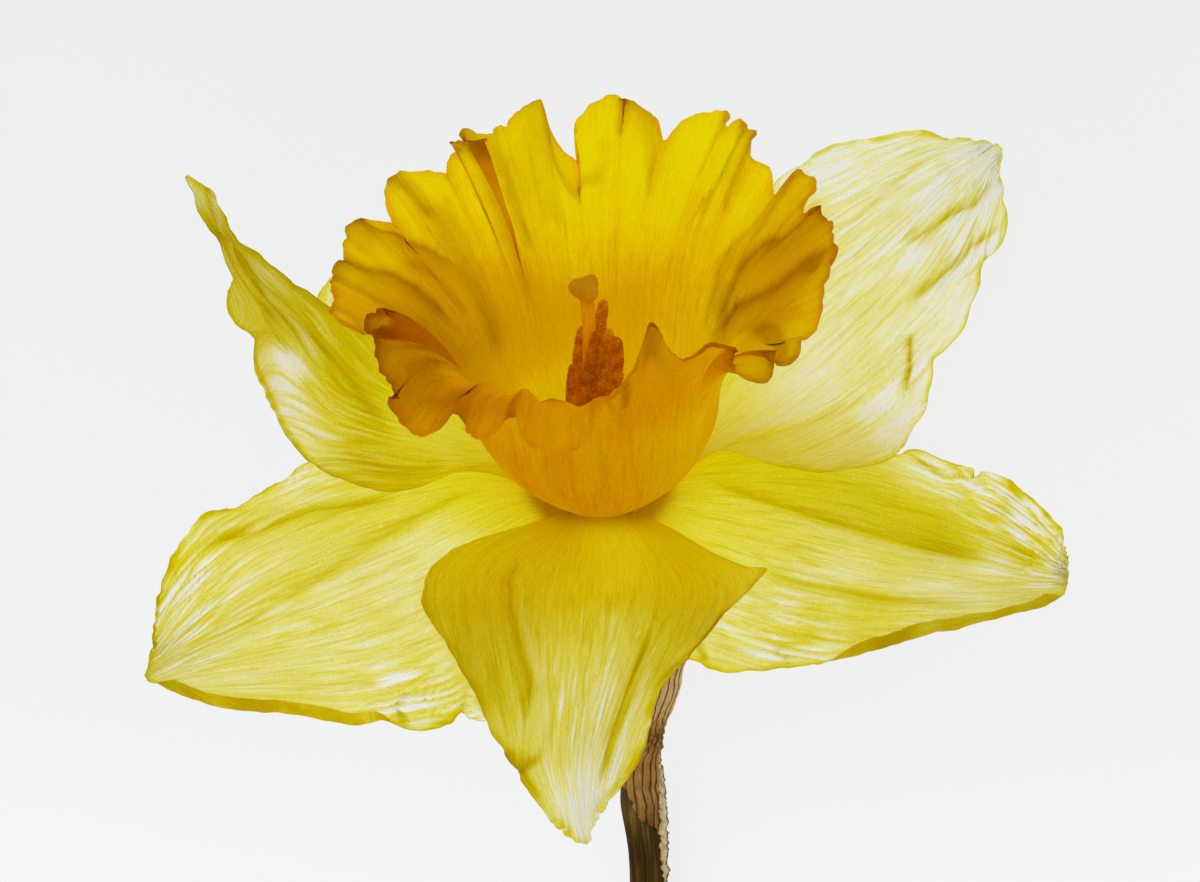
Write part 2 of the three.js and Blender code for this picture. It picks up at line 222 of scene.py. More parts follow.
GRAIN = growth_grain()


def grown(tree, scale, detail=2.0, roughness=0.5, warp=0.0):
    """The growth grain in a material: `scale` is across, round and along, per mm."""
    return node_of(tree, "Group", {"Scale": scale, "Detail": detail, "Roughness": roughness, "Warp": warp},
                   node_tree=GRAIN).outputs["Mask"]


def bump_of(tree, shader, height, distance):
    bump = node_of(tree, "Bump", {"Height": height, "Distance": distance, "Strength": 1.0})
    tree.links.new(bump.outputs["Normal"], shader.inputs["Normal"])


def stalk_finish():
    material, tree, shader = new_material("dry_stalk", 0.75)
    fibres = grown(tree, (3.0, 3.0, 0.12), 4.0, 0.6)
    blotches = grown(tree, (0.4, 0.4, 0.15), 3.0)
    mixed = node_of(tree, "Math", {0: fibres, 1: blotches}, operation="ADD").outputs[0]
    halved = node_of(tree, "Math", {0: mixed, 1: 0.5}, operation="MULTIPLY").outputs[0]
    colour = ramp_of(tree, halved, [(0.36, (0.022, 0.011, 0.001)), (0.47, (0.06, 0.033, 0.003)),
                                    (0.56, (0.11, 0.062, 0.008)), (0.66, (0.24, 0.14, 0.03))])
    tree.links.new(colour, shader.inputs["Base Color"])
    bump_of(tree, shader, fibres, 0.0003)
    return material


stalk = rod_of("stalk", STALK_ROUTE, 66, 170, GROUND, ribs)
stalk.data.materials.append(stalk_finish())
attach(stalk, "root")
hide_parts("scape")

# ---- pedicel ---------------------------------------------------------------------------------------------
# The pedicel is the short thin stem between the top of the stalk and the seed case.
# It is living tissue, green brown and smooth, and bends to let the head nod.

PEDICEL_ROUTE = [
    (-7.5, -23.6, 11.4, 1.25), (-6.9, -27.0, 9.0, 1.2), (-6.5, -29.4, 7.5, 1.15), (-5.4, -31.6, 5.4, 1.3),
]


def pedicel_finish():
    material, tree, shader = new_material("green_brown_stem", 0.6)
    fibres = grown(tree, (2.0, 2.0, 0.2), 3.0)
    colour = ramp_of(tree, fibres, [(0.3, (0.13, 0.11, 0.025)), (0.7, (0.34, 0.33, 0.1))])
    tree.links.new(colour, shader.inputs["Base Color"])
    bump_of(tree, shader, fibres, 0.0002)
    return material


pedicel = rod_of("nodding_stem", PEDICEL_ROUTE, 40, 40, GROUND,
                 lambda turn, along: 1 + 0.04 * math.cos(6 * turn))
pedicel.data.materials.append(pedicel_finish())
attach(pedicel, "root")
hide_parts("pedicel")

# ---- ovary -----------------------------------------------------------------------------------------------
# The ovary is the swollen seed case below the flower, of three chambers that show as three soft bulges.
# It grows between the pedicel and the tube, and its wall is thick, dull and green.

OVARY = [(0.9, -30.7), (1.5, -30.2), (2.5, -28.6), (3.0, -26.8), (3.1, -25.2), (2.8, -23.2), (2.1, -21.4),
         (1.6, -20.2)]


def turned(name, profile, sides, steps, bulge, closed_ring=False):
    """A shape spun from a profile of radius and height; bulge(angle, height) alters the radius."""
    line = smooth_line([(r, z, 0) for r, z in profile], steps)
    bm = bmesh.new()
    grow = bm.verts.layers.float_vector.new("grow")
    verts = [bm.verts.new((r, 0, z)) for r, z, _ in line]
    edges = [bm.edges.new(pair) for pair in zip(verts, verts[1:])]
    if closed_ring:
        edges.append(bm.edges.new((verts[-1], verts[0])))
    bmesh.ops.spin(bm, geom=verts + edges, cent=(0, 0, 0), axis=(0, 0, 1), angle=2 * math.pi, steps=sides,
                   use_merge=True)
    bmesh.ops.remove_doubles(bm, verts=bm.verts, dist=1e-5)
    if not closed_ring:
        bmesh.ops.holes_fill(bm, edges=[e for e in bm.edges if e.is_boundary], sides=0)
    bmesh.ops.recalc_face_normals(bm, faces=bm.faces)
    for v in bm.verts:
        turn = math.atan2(v.co.y, v.co.x)
        r = math.hypot(v.co.x, v.co.y) * bulge(turn, v.co.z)
        v[grow] = (math.cos(turn) * 4, math.sin(turn) * 4, v.co.z)
        v.co = Vector((r * math.cos(turn), r * math.sin(turn), v.co.z))
    return bm


def seat(name, bm):
    """Finishes a shape that was made in the head's own frame."""
    bmesh.ops.transform(bm, matrix=HEAD, verts=bm.verts)
    return finish_mesh(name, bm)


def ovary_finish():
    material, tree, shader = new_material("seed_case_green", 0.5)
    mottle = grown(tree, (0.9, 0.9, 0.3), 4.0)
    colour = ramp_of(tree, mottle, [(0.32, (0.1, 0.12, 0.02)), (0.5, (0.2, 0.22, 0.05)),
                                    (0.7, (0.36, 0.36, 0.1))])
    tree.links.new(colour, shader.inputs["Base Color"])
    bump_of(tree, shader, mottle, 0.0002)
    return material


ovary = seat("seed_case", turned("seed_case", OVARY, 72, 40, lambda turn, z: 1 + 0.07 * math.cos(3 * turn)))
ovary.data.materials.append(ovary_finish())
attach(ovary, "root")
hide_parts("ovary")

# ---- floral tube -----------------------------------------------------------------------------------------
# The tube is the hollow funnel above the seed case, where the petals, the trumpet and the stamens begin.
# Its wall is waxy, yellow green at the foot and petal yellow where it opens out.

TUBE = [(4.4, -2.0), (4.1, -5), (2.6, -11), (1.5, -19.5), (2.3, -20), (2.7, -16), (3.4, -11.2), (4.2, -8),
        (5.0, -5.2), (5.8, -3.7), (7.2, -2.7), (7.1, -2.1)]


def tube_finish():
    material, tree, shader = new_material("tube_yellow_green", 0.5)
    place = node_of(tree, "Attribute", attribute_name="grow").outputs["Vector"]
    height = node_of(tree, "SeparateXYZ", {"Vector": place}).outputs["Z"]
    rise = node_of(tree, "MapRange",
                   {"Value": height, "From Min": -20.0, "From Max": -3.0}).outputs["Result"]
    streaks = grown(tree, (1.6, 1.6, 0.1), 3.0)
    mixed = node_of(tree, "Math", {0: streaks, 1: 0.5, 2: rise}, operation="MULTIPLY_ADD").outputs[0]
    colour = ramp_of(tree, mixed, [(0.2, (0.2, 0.25, 0.03)), (0.6, (0.5, 0.5, 0.06)),
                                   (1.1, (0.78, 0.68, 0.05))])
    tree.links.new(colour, shader.inputs["Base Color"])
    bump_of(tree, shader, streaks, 0.0002)
    let_light_through(tree, shader, colour, 0.35)
    return material


def let_light_through(tree, shader, colour, share):
    """Mixes the shader with one that passes `share` of the light on, tinted, as a thin leaf does."""
    glow = node_of(tree, "BsdfTranslucent", {"Color": colour})
    if shader.inputs["Normal"].links:
        tree.links.new(shader.inputs["Normal"].links[0].from_socket, glow.inputs["Normal"])
    both = node_of(tree, "MixShader", {"Fac": share, 1: shader.outputs["BSDF"], 2: glow.outputs["BSDF"]})
    tree.links.new(both.outputs["Shader"], tree.nodes["Material Output"].inputs["Surface"])


tube = seat("funnel", turned("funnel", TUBE, 90, 90, lambda turn, z: 1 + 0.03 * math.cos(6 * turn), True))
tube.data.materials.append(tube_finish())
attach(tube, "root")
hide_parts("floral_tube")

# ---- petals ----------------------------------------------------------------------------------------------
# Six petals grow from the tube's rim in two whorls of three: thin, pale yellow leaves whose veins run from
# foot to tip. They have begun to dry, so their margins roll and brown, and creases run through them.

ALONG = 220                        # steps from foot to tip
ACROSS = 120                       # steps from margin to margin
FLAP = 6                           # further steps in the strip that rolls over at each margin
CLAW = 4.6                         # distance from the axis to a petal's foot
CLAW_HALF = 4.0
LANES = 12                         # vein lanes on either side of a petal's middle
BLADE = 48                         # mm of growth from foot to tip

def smoothstep(low, high, value):
    t = np.clip((value - low) / (high - low), 0, 1)
    return t * t * (3 - 2 * t)


def noise_field(u, v, seed):
    """Smooth noise at arrays of places u, v."""
    flat = [noise.noise(Vector((a, b, seed))) for a, b in zip(u.ravel(), v.ravel())]
    return np.array(flat).reshape(u.shape)


def near_line(points, x, y):
    """Distance from places x, y to a line through `points`, the side of it and how far along it they are."""
    best, side, part = np.full(x.shape, 1e9), np.zeros(x.shape), np.zeros(x.shape)
    spans = [math.dist(a, b) for a, b in zip(points, points[1:])]
    done = 0
    for (x0, y0), (x1, y1), span in zip(points, points[1:], spans):
        dx, dy = x1 - x0, y1 - y0
        t = np.clip(((x - x0) * dx + (y - y0) * dy) / (dx * dx + dy * dy), 0, 1)
        gap = np.hypot(x - x0 - t * dx, y - y0 - t * dy)
        side = np.where(gap < best, np.sign(dx * (y - y0) - dy * (x - x0)), side)
        part = np.where(gap < best, (done + t * span) / sum(spans), part)
        best = np.minimum(best, gap)
        done += span
    return best, side, part


def normals_of(points):
    along = np.gradient(points, axis=0)
    across = np.gradient(points, axis=1)
    normal = np.cross(along, across)
    return normal / np.maximum(np.linalg.norm(normal, axis=-1, keepdims=True), 1e-9)


def calmed(rows, half=7):
    """Directions of length 1, each the mean of a direction and its neighbours along a margin."""
    padded = np.pad(rows, [(half, half), (0, 0)], "edge")
    mean = sum(padded[k:k + len(rows)] for k in range(2 * half + 1))
    return mean / np.maximum(np.linalg.norm(mean, axis=1, keepdims=True), 1e-9)


def petal(name, angle, foot, left, middle, right, tip, creases, rolls, patches, seed, deep=0.42, dim=0.0):
    """A petal along `angle`. Its lines give distance out, drift to the left and height, from foot to tip.
    creases: (points, height, width, painted shade, side of the painted highlight),
    rolls: (side, from, to, radius, strip, turn) and patches: (out, drift, radius, tone, crinkle, shade,
    glow and tint), in mm, part colour and part painted light and shade; `deep` is how yellow it is and
    `dim` is shade painted over the whole petal."""
    wide = np.array(tip)
    edge_l = smooth_line([(CLAW, CLAW_HALF, foot)] + left + [wide + (0, 0.15, 0)], ALONG + 1)
    mid = smooth_line([(CLAW, 0, foot)] + middle + [wide], ALONG + 1)
    edge_r = smooth_line([(CLAW, -CLAW_HALF, foot)] + right + [wide - (0, 0.15, 0)], ALONG + 1)
    t = np.linspace(-1, 1, ACROSS + 1)[None, :, None]
    base = (edge_l[:, None] * t * (t + 1) / 2 + mid[:, None] * (1 - t * t)
            + edge_r[:, None] * t * (t - 1) / 2)
    s = np.linspace(0, 1, ALONG + 1)[:, None] * np.ones((1, ACROSS + 1))
    t = t[..., 0] * np.ones((ALONG + 1, 1))
    half = np.linalg.norm(edge_l - edge_r, axis=1)[:, None] / 2
    inset = (1 - np.abs(t)) * half                       # mm from the nearer margin
    free = smoothstep(0.05, 0.3, s)                      # the claw is stiff and plain
    out, drift = base[..., 0], base[..., 1]
    window = np.ones(33) / 33
    calm = np.convolve(np.pad(half[:, 0], 16, "edge"), window, "valid")[:, None]
    fan = 0.55 * calm + 5.6 * (0.33 + 0.67 * np.sin(math.pi * s**0.85))
    vein = LANES * (drift - mid[:, 1:2]) / fan           # the veins fan out and are cut off by the margins

    ripple = 0.5 - 2.4 * np.abs(noise_field(vein * 1.5, s * 8, seed + 3))
    ragged = np.clip(0.75 + 1.4 * noise_field(vein * 1.5, s * 4, seed + 9), 0.1, 1.6)
    rise = 0.05 * noise_field(vein * 1.1, s * 3, seed) * free
    rise += 0.25 * noise_field(vein * 0.27, s * 5, seed + 7) * free * (0.3 + np.abs(t))
    rise += 0.22 * noise_field(t * 1.5, s * 13, seed + 11) * free * np.exp(-inset / 2.5)
    foot_glow = 1 - smoothstep(0.05, 0.5, s)
    tone = deep + 0.07 + 0.12 * noise_field(vein * 0.2, s * 1.2, seed + 5)
    # `dim` is shade painted over the whole petal.
    shade = dim + 0.3 * np.clip(tone - 0.15, 0, 1) * (1 - foot_glow)
    tone += 0.45 * foot_glow
    # Each crease is painted: a darker, deeper yellow band with a dark core line as painted shade and, where
    # a side is given, a painted highlight beside it; `rise` shapes the fold itself.
    for points, height, width, painted_shading, bright_side in creases:
        gap, side, part = near_line(points, out, drift)
        taper = smoothstep(0, 0.2, part) * smoothstep(0, 0.2, 1 - part)
        fade = np.exp(-((gap / width) ** 2)) * taper * ragged
        core = np.exp(-((gap / 0.3) ** 2)) * taper
        flank = np.exp(-(((gap - 1.3 * width) / (0.6 * width)) ** 2)) * taper * (side * bright_side > 0)
        rise += height * taper * np.exp(-gap / (0.5 * width))
        tone += painted_shading * (0.7 * fade + 0.5 * core - 0.5 * flank)
        shade += painted_shading * (0.55 * fade + 0.5 * core - 0.1 * flank)
    # A painted orange glow round each petal's foot, where light comes through the trumpet; some patches add
    # to it and tint the petal orange.
    glow_and_orange_tint = 0.75 * np.exp(-(((out - CLAW) / 3.5) ** 2))
    # Patches make the petal deeper or paler, partly its own colour and partly painted light and shade; their
    # crinkle ripples the sheet and paints the ripples with light and shade.
    for x, y, radius, change, crinkle, darker, more_glow_and_tint in [(*patch, 0, 0)[:7] for patch in patches]:
        fade = np.exp(-((out - x) ** 2 + (drift - y) ** 2) / radius**2)
        glow_and_orange_tint += fade * more_glow_and_tint
        tone += fade * (change + 0.9 * crinkle * ripple)
        shade += fade * (0.3 * change + 0.25 * crinkle * ripple + darker)
        rise += 0.35 * crinkle * fade * ripple
    wobble = 0.24 * noise_field(s * 26, np.sign(t) * 3.0, seed + 2) * smoothstep(0.1, 0.25, s)
    wobble += 0.11 * noise_field(s * 60, np.sign(t) * 3.0, seed + 4) * smoothstep(0.1, 0.25, s)
    outward = np.gradient(base, axis=1) * np.sign(t)[..., None]
    outward /= np.maximum(np.linalg.norm(outward, axis=-1, keepdims=True), 1e-9)
    body = base + normals_of(base) * rise[..., None] + outward * (wobble * np.exp(-inset / 0.9))[..., None]
    patchy = np.clip(0.65 + 1.2 * noise_field(s * 14, np.sign(t), seed + 8), 0.1, 1.1)
    rim = np.exp(-((inset / (0.2 + 0.22 * patchy)) ** 2)) * patchy * free
    tone += 0.55 * rim
    shade += 0.2 * rim

    normal = normals_of(body)
    f = s[:, 0]
    strips = []
    for sign, edge, inner in ((-1, 0, 1), (1, -1, -2)):
        margin = body[:, edge]
        away = calmed(margin - body[:, inner])
        above = calmed(normal[:, edge])
        curl, turn, reach = np.full(ALONG + 1, 0.3), np.zeros(ALONG + 1), np.full(ALONG + 1, 0.18)
        for roll_sign, start, stop, radius, strip, full in rolls:
            if roll_sign == sign:
                w = smoothstep(start, start + 0.06, f) * (1 - smoothstep(stop - 0.05, stop, f))
                torn = 1 + 0.3 * noise_field(f * 16, f * 0, seed + sign)
                turn = np.where(w > 0.01, full, turn)
                curl += w * (radius - curl)
                reach += w * (radius * full + strip * torn - reach)
        rows = []
        for q in np.linspace(0, 1, FLAP + 1)[1:]:
            bend = np.minimum(q * reach / curl, turn)
            past = np.maximum(q * reach - curl * turn, 0)
            flat = np.where(turn < 1e-3, q * reach, curl * np.sin(bend) + past * np.cos(turn))
            lift = np.where(turn < 1e-3, 0, curl * (1 - np.cos(bend)) + past * np.sin(turn))
            rows.append(margin + away * flat[:, None] + above * lift[:, None])
        strips.append(np.stack(rows, 1))
    points = np.concatenate([strips[0][:, ::-1], body, strips[1]], axis=1)
    pad = [(0, 0), (FLAP, FLAP)]
    vein = np.pad(vein, pad, "linear_ramp", end_values=[(0, 0), (-LANES - 2, LANES + 2)])
    s, tone, shade, glow_and_orange_tint = (np.pad(each, pad, "edge") for each in (s, tone, shade, glow_and_orange_tint))
    # The rolled-over strips are painted a little deeper, as painted shade of the doubled tissue.
    tone[:, :FLAP] += 0.1
    tone[:, -FLAP:] += 0.1
    grow = np.stack([vein, s * BLADE, np.full(s.shape, seed * 10.0)], -1)
    place = HEAD @ Matrix.Rotation(math.radians(angle), 4, "Z")
    piece = sheet_of(name, points, place, {"grow": grow, "tone": tone, "shade": shade, "glow_and_orange_tint": glow_and_orange_tint})
    piece.data.materials.append(petal_skin)
    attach(piece, "root")
    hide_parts(name.replace("petal", "tepal"))


def attribute_of(tree, name):
    return node_of(tree, "Attribute", attribute_name=name).outputs["Fac"]


def sum_of(tree, start, *parts):
    """`start` plus each part, a socket and its weight."""
    total = start
    for socket, weight in parts:
        total = node_of(tree, "Math", {0: socket, 1: weight, 2: total}, operation="MULTIPLY_ADD").outputs[0]
    return total


def shaded(tree, colour, amount, deep_colour):
    """`colour` turned towards `deep_colour` by `amount`."""
    mix = node_of(tree, "Mix", {"Factor": amount}, data_type="RGBA")
    tree.links.new(colour, mix.inputs["A"])
    mix.inputs["B"].default_value = (*deep_colour, 1)
    return mix.outputs["Result"]


def vein_lines():
    """A group of thin, wavy, broken lines that run the way a petal grew."""
    group = bpy.data.node_groups.new("vein_lines", "ShaderNodeTree")
    group.interface.new_socket("Scale", in_out="INPUT", socket_type="NodeSocketVector")
    for name in ("Warp", "Width"):
        group.interface.new_socket(name, in_out="INPUT", socket_type="NodeSocketFloat")
    group.interface.new_socket("Mask", in_out="OUTPUT", socket_type="NodeSocketFloat")
    given = node_of(group, "Attribute", attribute_name="grow").outputs["Vector"]
    start = group.nodes.new("NodeGroupInput").outputs
    spread = node_of(group, "VectorMath", {0: given, 1: start["Scale"]},
                     operation="MULTIPLY").outputs["Vector"]
    cloud = node_of(group, "TexNoise", {"Vector": spread, "Scale": 1.0, "Detail": 2.0,
                                        "Distortion": start["Warp"]})
    middle = node_of(group, "Math", {0: cloud.outputs["Fac"], 1: 0.5}, operation="SUBTRACT").outputs[0]
    gap = node_of(group, "Math", {0: middle}, operation="ABSOLUTE").outputs[0]
    line = node_of(group, "MapRange", {"Value": gap, "From Min": 0.0, "From Max": start["Width"],
                                       "To Min": 1.0, "To Max": 0.0}).outputs["Result"]
    breaks = node_of(group, "TexNoise", {"Vector": spread, "Scale": 1.7, "Detail": 1.0}).outputs["Fac"]
    kept = node_of(group, "MapRange", {"Value": breaks, "From Min": 0.4, "From Max": 0.6}).outputs["Result"]
    mask = node_of(group, "Math", {0: line, 1: kept}, operation="MULTIPLY").outputs[0]
    group.links.new(mask, group.nodes.new("NodeGroupOutput").inputs["Mask"])
    return group


LINES = vein_lines()


def veined(tree, scale, warp, width):
    return node_of(tree, "Group", {"Scale": scale, "Warp": warp, "Width": width},
                   node_tree=LINES).outputs["Mask"]


def petal_finish():
    material, tree, shader = new_material("petal", 0.5)
    veins = grown(tree, (3.0, 0.2, 1.0), 3.0, 0.65, 0.3)
    streaks = grown(tree, (0.55, 0.035, 1.0), 2.0)
    wrinkles = grown(tree, (1.5, 0.65, 1.0), 3.0, 0.7, 0.5)
    cells = grown(tree, (6.0, 3.5, 1.0), 2.0, 0.7)
    bold = veined(tree, (1.15, 0.05, 1.0), 0.35, 0.05)
    faint = veined(tree, (2.6, 0.11, 1.0), 0.3, 0.07)
    # Glints: painted glints, pale specks where the fine cells and wrinkles peak.
    glints = node_of(tree, "Math", {0: cells, 1: wrinkles}, operation="MULTIPLY").outputs[0]
    glints = node_of(tree, "MapRange",
                     {"Value": glints, "From Min": 0.29, "From Max": 0.36}).outputs["Result"]
    offset = node_of(tree, "Math", {0: attribute_of(tree, "tone"), 1: -0.73}, operation="ADD").outputs[0]
    tone = sum_of(tree, offset, (veins, 0.33), (streaks, 0.22), (wrinkles, 0.42), (cells, 0.42),
                  (bold, 0.16), (faint, 0.11), (glints, -0.28))
    colour = ramp_of(tree, tone, [(0.0, (1.0, 0.99, 0.9)), (0.1, (1.0, 0.975, 0.68)),
                                  (0.2, (1.0, 0.96, 0.5)), (0.4, (0.99, 0.93, 0.26)),
                                  (0.6, (0.97, 0.88, 0.085)), (0.8, (0.95, 0.83, 0.015)),
                                  (1.0, (0.93, 0.76, 0.0))])
    offset = node_of(tree, "Math", {0: attribute_of(tree, "shade"), 1: -0.2}, operation="ADD").outputs[0]
    amount = sum_of(tree, offset, (veins, 0.25), (wrinkles, 0.15), (bold, 0.14), (faint, 0.08),
                    (glints, -0.1))
    colour = shaded(tree, colour, amount, (0.42, 0.27, 0.0))
    # Painted orange glow near the foot, and an orange tint in places.
    colour = shaded(tree, colour, attribute_of(tree, "glow_and_orange_tint"), (0.97, 0.6, 0.0))
    tree.links.new(colour, shader.inputs["Base Color"])
    ridges = node_of(tree, "Math", {0: cells, 1: 0.35, 2: veins}, operation="MULTIPLY_ADD").outputs[0]
    bump_of(tree, shader, ridges, 0.0004)
    let_light_through(tree, shader, colour, 0.93)
    return material


petal_skin = petal_finish()

# The outer whorl: three petals, one layer lower.

OUTER_FOOT = -1.5
petal("petal_lower_left", -150, OUTER_FOOT,
      left=[(10, 12, -2), (16, 15.5, -2.3), (21, 17.5, -2.4), (24.8, 20.8, -2.3), (25.6, 22.8, -2.2),
            (26.6, 22.4, -2.2), (27.4, 21.2, -2), (28.8, 21.6, -2), (31, 22, -1.7), (33, 20.6, -1.6),
            (34.6, 19, -1.3), (37.2, 18.5, -1.1), (41.2, 15.3, -0.5), (44.3, 13.2, -0.3), (46.8, 11.4, 0),
            (48.7, 9.2, 0), (50.2, 7, 0)],
      middle=[(9.5, -1.5, -1.5), (21, 1, -1), (31.5, 2.5, 0), (39.5, 3, 0.5), (45.5, 3.5, 0.5)],
      right=[(9, -9, -1.5), (14, -14.5, -1.5), (18, -17, -1.5), (23.2, -18, -1), (27.3, -16.4, -0.5),
             (30.8, -14.8, 0), (33.7, -13.6, 0.4), (36, -14, 0.7), (37.8, -13.3, 1), (40.2, -11.8, 1),
             (41.6, -10.3, 1), (44.1, -7.2, 1), (46.2, -4.5, 0.8), (48, -1.4, 0.6), (50, 1.8, 0.3)],
      tip=(51.8, 4.1, 0.1),
      creases=[([(7.4, -7.3), (17.3, -5.7), (24.9, -3.1), (32, -0.3), (38.7, 1.8), (45.3, 2.4), (49.9, 3.8)],
                -0.3, 1.4, 0.2, 1),
               ([(17, -9), (19.1, -9.3), (26.7, -11), (32.9, -10), (37.6, -9.9), (40.7, -8.8)],
                -0.5, 1.0, 0.32, -1),
               ([(30.5, 17), (32.6, 18), (32.8, 21)], 0.5, 0.5, 0.2, 1),
               ([(28, 22), (25.2, 18.4)], 0.4, 0.6, 0.15, -1)],
      rolls=[(1, 0.6, 0.995, 0.35, 0.8, 2.9), (-1, 0.72, 0.985, 0.3, 0.35, 2.7)],
      patches=[(17.5, 0, 5, -0.2, 0), (26, -17, 4, -0.15, 0.5), (28, 19, 5, -0.18, 0.7),
               (33, 17.5, 4, -0.15, 0.4), (44, -4, 6, 0, 0.5), (48, 3.7, 4, -0.08, 0.4),
               (28, -8, 6, 0.12, 0), (22, -9, 5, 0.08, 0), (35, 5, 10, -0.02, 0.3), (36, -12, 4, 0.1, 0.5),
               (24, -18, 4, -0.2, 0.3), (46.5, -3.5, 4, -0.2, 0.4, -0.05), (42, -8, 3, 0, 0.5, -0.1),
               (27, 14, 6, 0.1, 0), (33, 3, 6, 0.08, 0), (51.5, 0, 3, 0.2, 0.2, 0.15),
               (26, 22, 2.5, -0.2, 0.3), (47.5, -5.5, 2.5, -0.25, 0.2)],
      seed=1, deep=0.4, dim=0.04)

petal("petal_lower_right", -24, OUTER_FOOT,
      left=[(6.5, 9.5, -1.4), (12, 14.5, -1.3), (19, 15.5, -0.9), (25.2, 15.6, 0), (26.5, 16.5, 0.2),
            (28, 16.6, 0.5), (30, 15.9, 0.9), (31.7, 15.1, 1.2), (33, 15.1, 1.4), (34, 15, 1.5),
            (34.5, 14.2, 1.5), (35.1, 15, 1.5), (36.2, 15.1, 1.5), (38, 14.5, 1.5), (39.7, 13.5, 1.5),
            (41.8, 12.4, 1.4), (43.3, 11.6, 1.1), (44.7, 10.8, 0.8), (45.3, 9.8, 0.6), (46.2, 8, 0.5),
            (47.4, 5.4, 0.4)],
      middle=[(11, -0.5, -1.5), (21, -1, -0.5), (29.5, -1.5, 0.5), (37, -0.5, 1), (43.5, 1, 1)],
      right=[(9.5, -8, -1.8), (14.6, -16, -2), (17, -18.5, -2), (18.6, -18.8, -2), (20.3, -19.2, -2),
             (22, -19, -1.9), (25.8, -17.1, -1.7), (28.7, -15.6, -1.5), (31.5, -13.3, -1.3),
             (33.6, -11.3, -1.1), (36.1, -8.9, -0.9), (39.2, -5.8, -0.7), (43.5, -2, -0.4), (46, 0, -0.2),
             (47.3, 1.9, -0.1)],
      tip=(47.9, 3.7, 0.2),
      creases=[([(7, 6.4), (9.5, 6.1), (19.4, 4.7), (25.6, 3.5), (33.1, 2.6), (38, 2.7), (42.8, 3)],
                -0.55, 1.2, 0.3, -1),
               ([(18, -5.2), (24.3, -5.9), (31.9, -5.5), (39.1, -3.8), (42, -2.5)], -0.25, 1.4, 0.25, 1),
               ([(35.5, 15), (34.6, 14.4), (31.6, 13.6), (29, 15.3), (26.8, 15.6)], -0.9, 0.7, 0.25, -1),
               ([(17.6, -16.4), (19.4, -18.8)], 0.4, 0.5, 0.2, 1),
               ([(24.6, -14.8), (27.6, -16)], -0.4, 0.6, 0.2, -1)],
      rolls=[(-1, 0.56, 0.995, 0.35, 1.0, 2.9)],
      patches=[(20, 10, 7, 0.3, 0), (29, 7, 6, 0.25, 0), (28, 3, 5, 0.1, 0), (12, -2.5, 6, -0.15, 0),
               (24, -9, 5, -0.15, 0.3), (18, -13, 4, -0.2, 0.4), (37, -2, 5, -0.18, 0.1),
               (34, 0, 4, -0.1, 0), (40, 11, 5, -0.12, 0.8), (44, 5, 5, -0.08, 0.7),
               (30, 16, 4, -0.3, 0.4), (27, -14, 4, 0, 0.7), (35, 3.5, 4, 0.25, 0, 0.04),
               (31, -7, 5, 0.14, 0), (34, 12, 3, -0.15, 0.3), (47, 7, 3.5, -0.15, 0.5),
               (42.5, 4.6, 2, 0.35, 0, 0.05), (39, 15, 5, -0.17, 0.6, -0.05),
               (46, 10, 4, -0.12, 0.5, -0.08), (35, 2.5, 5, 0.15, 0, 0.07), (27.5, -2.5, 3, -0.2, 0),
               (25, 8, 5, 0, 0, 0.07), (12, 12, 6, 0.15, 0, 0.02), (8, -5, 5, 0, 0, -0.18),
               (33, 17, 6, -0.12, 0.4, -0.05), (47, 5, 4, -0.1, 0.2, -0.08), (17, -8, 4, -0.15, 0),
               (40, -8, 4, -0.15, 0)],
      seed=2, deep=0.42, dim=0.05)

petal("petal_top", 103, OUTER_FOOT,
      left=[(12, 11, -1.5), (18, 16, -0.8), (23, 20, 0), (29, 22.4, 0.8), (34, 22.5, 1.5), (39, 18.6, 1.8),
            (43, 14, 2), (47.5, 6, 2.4)],
      middle=[(11, 0, -1.5), (21, 0, -1), (31, 0, 0), (40, 0, 1), (46.5, 0, 2)],
      right=[(11, -9, -1.5), (20, -15, -1), (28, -16, 1.5), (33, -15, 3.5), (37, -13, 5), (41.5, -10, 4.8),
             (44.5, -6, 4.3), (47.5, -2.4, 3.2)],
      tip=(49.5, 1, 2.6),
      creases=[([(10, 0), (24, 1), (40, 0.5)], -0.3, 1.4, 0.2, 0)],
      rolls=[(1, 0.72, 0.95, 0.3, 0.3, 2.4)],
      patches=[(38, 6, 10, -0.2, 0.3)],
      seed=3, deep=0.3)

# The inner whorl: three petals that grow between the outer ones and overlap them.

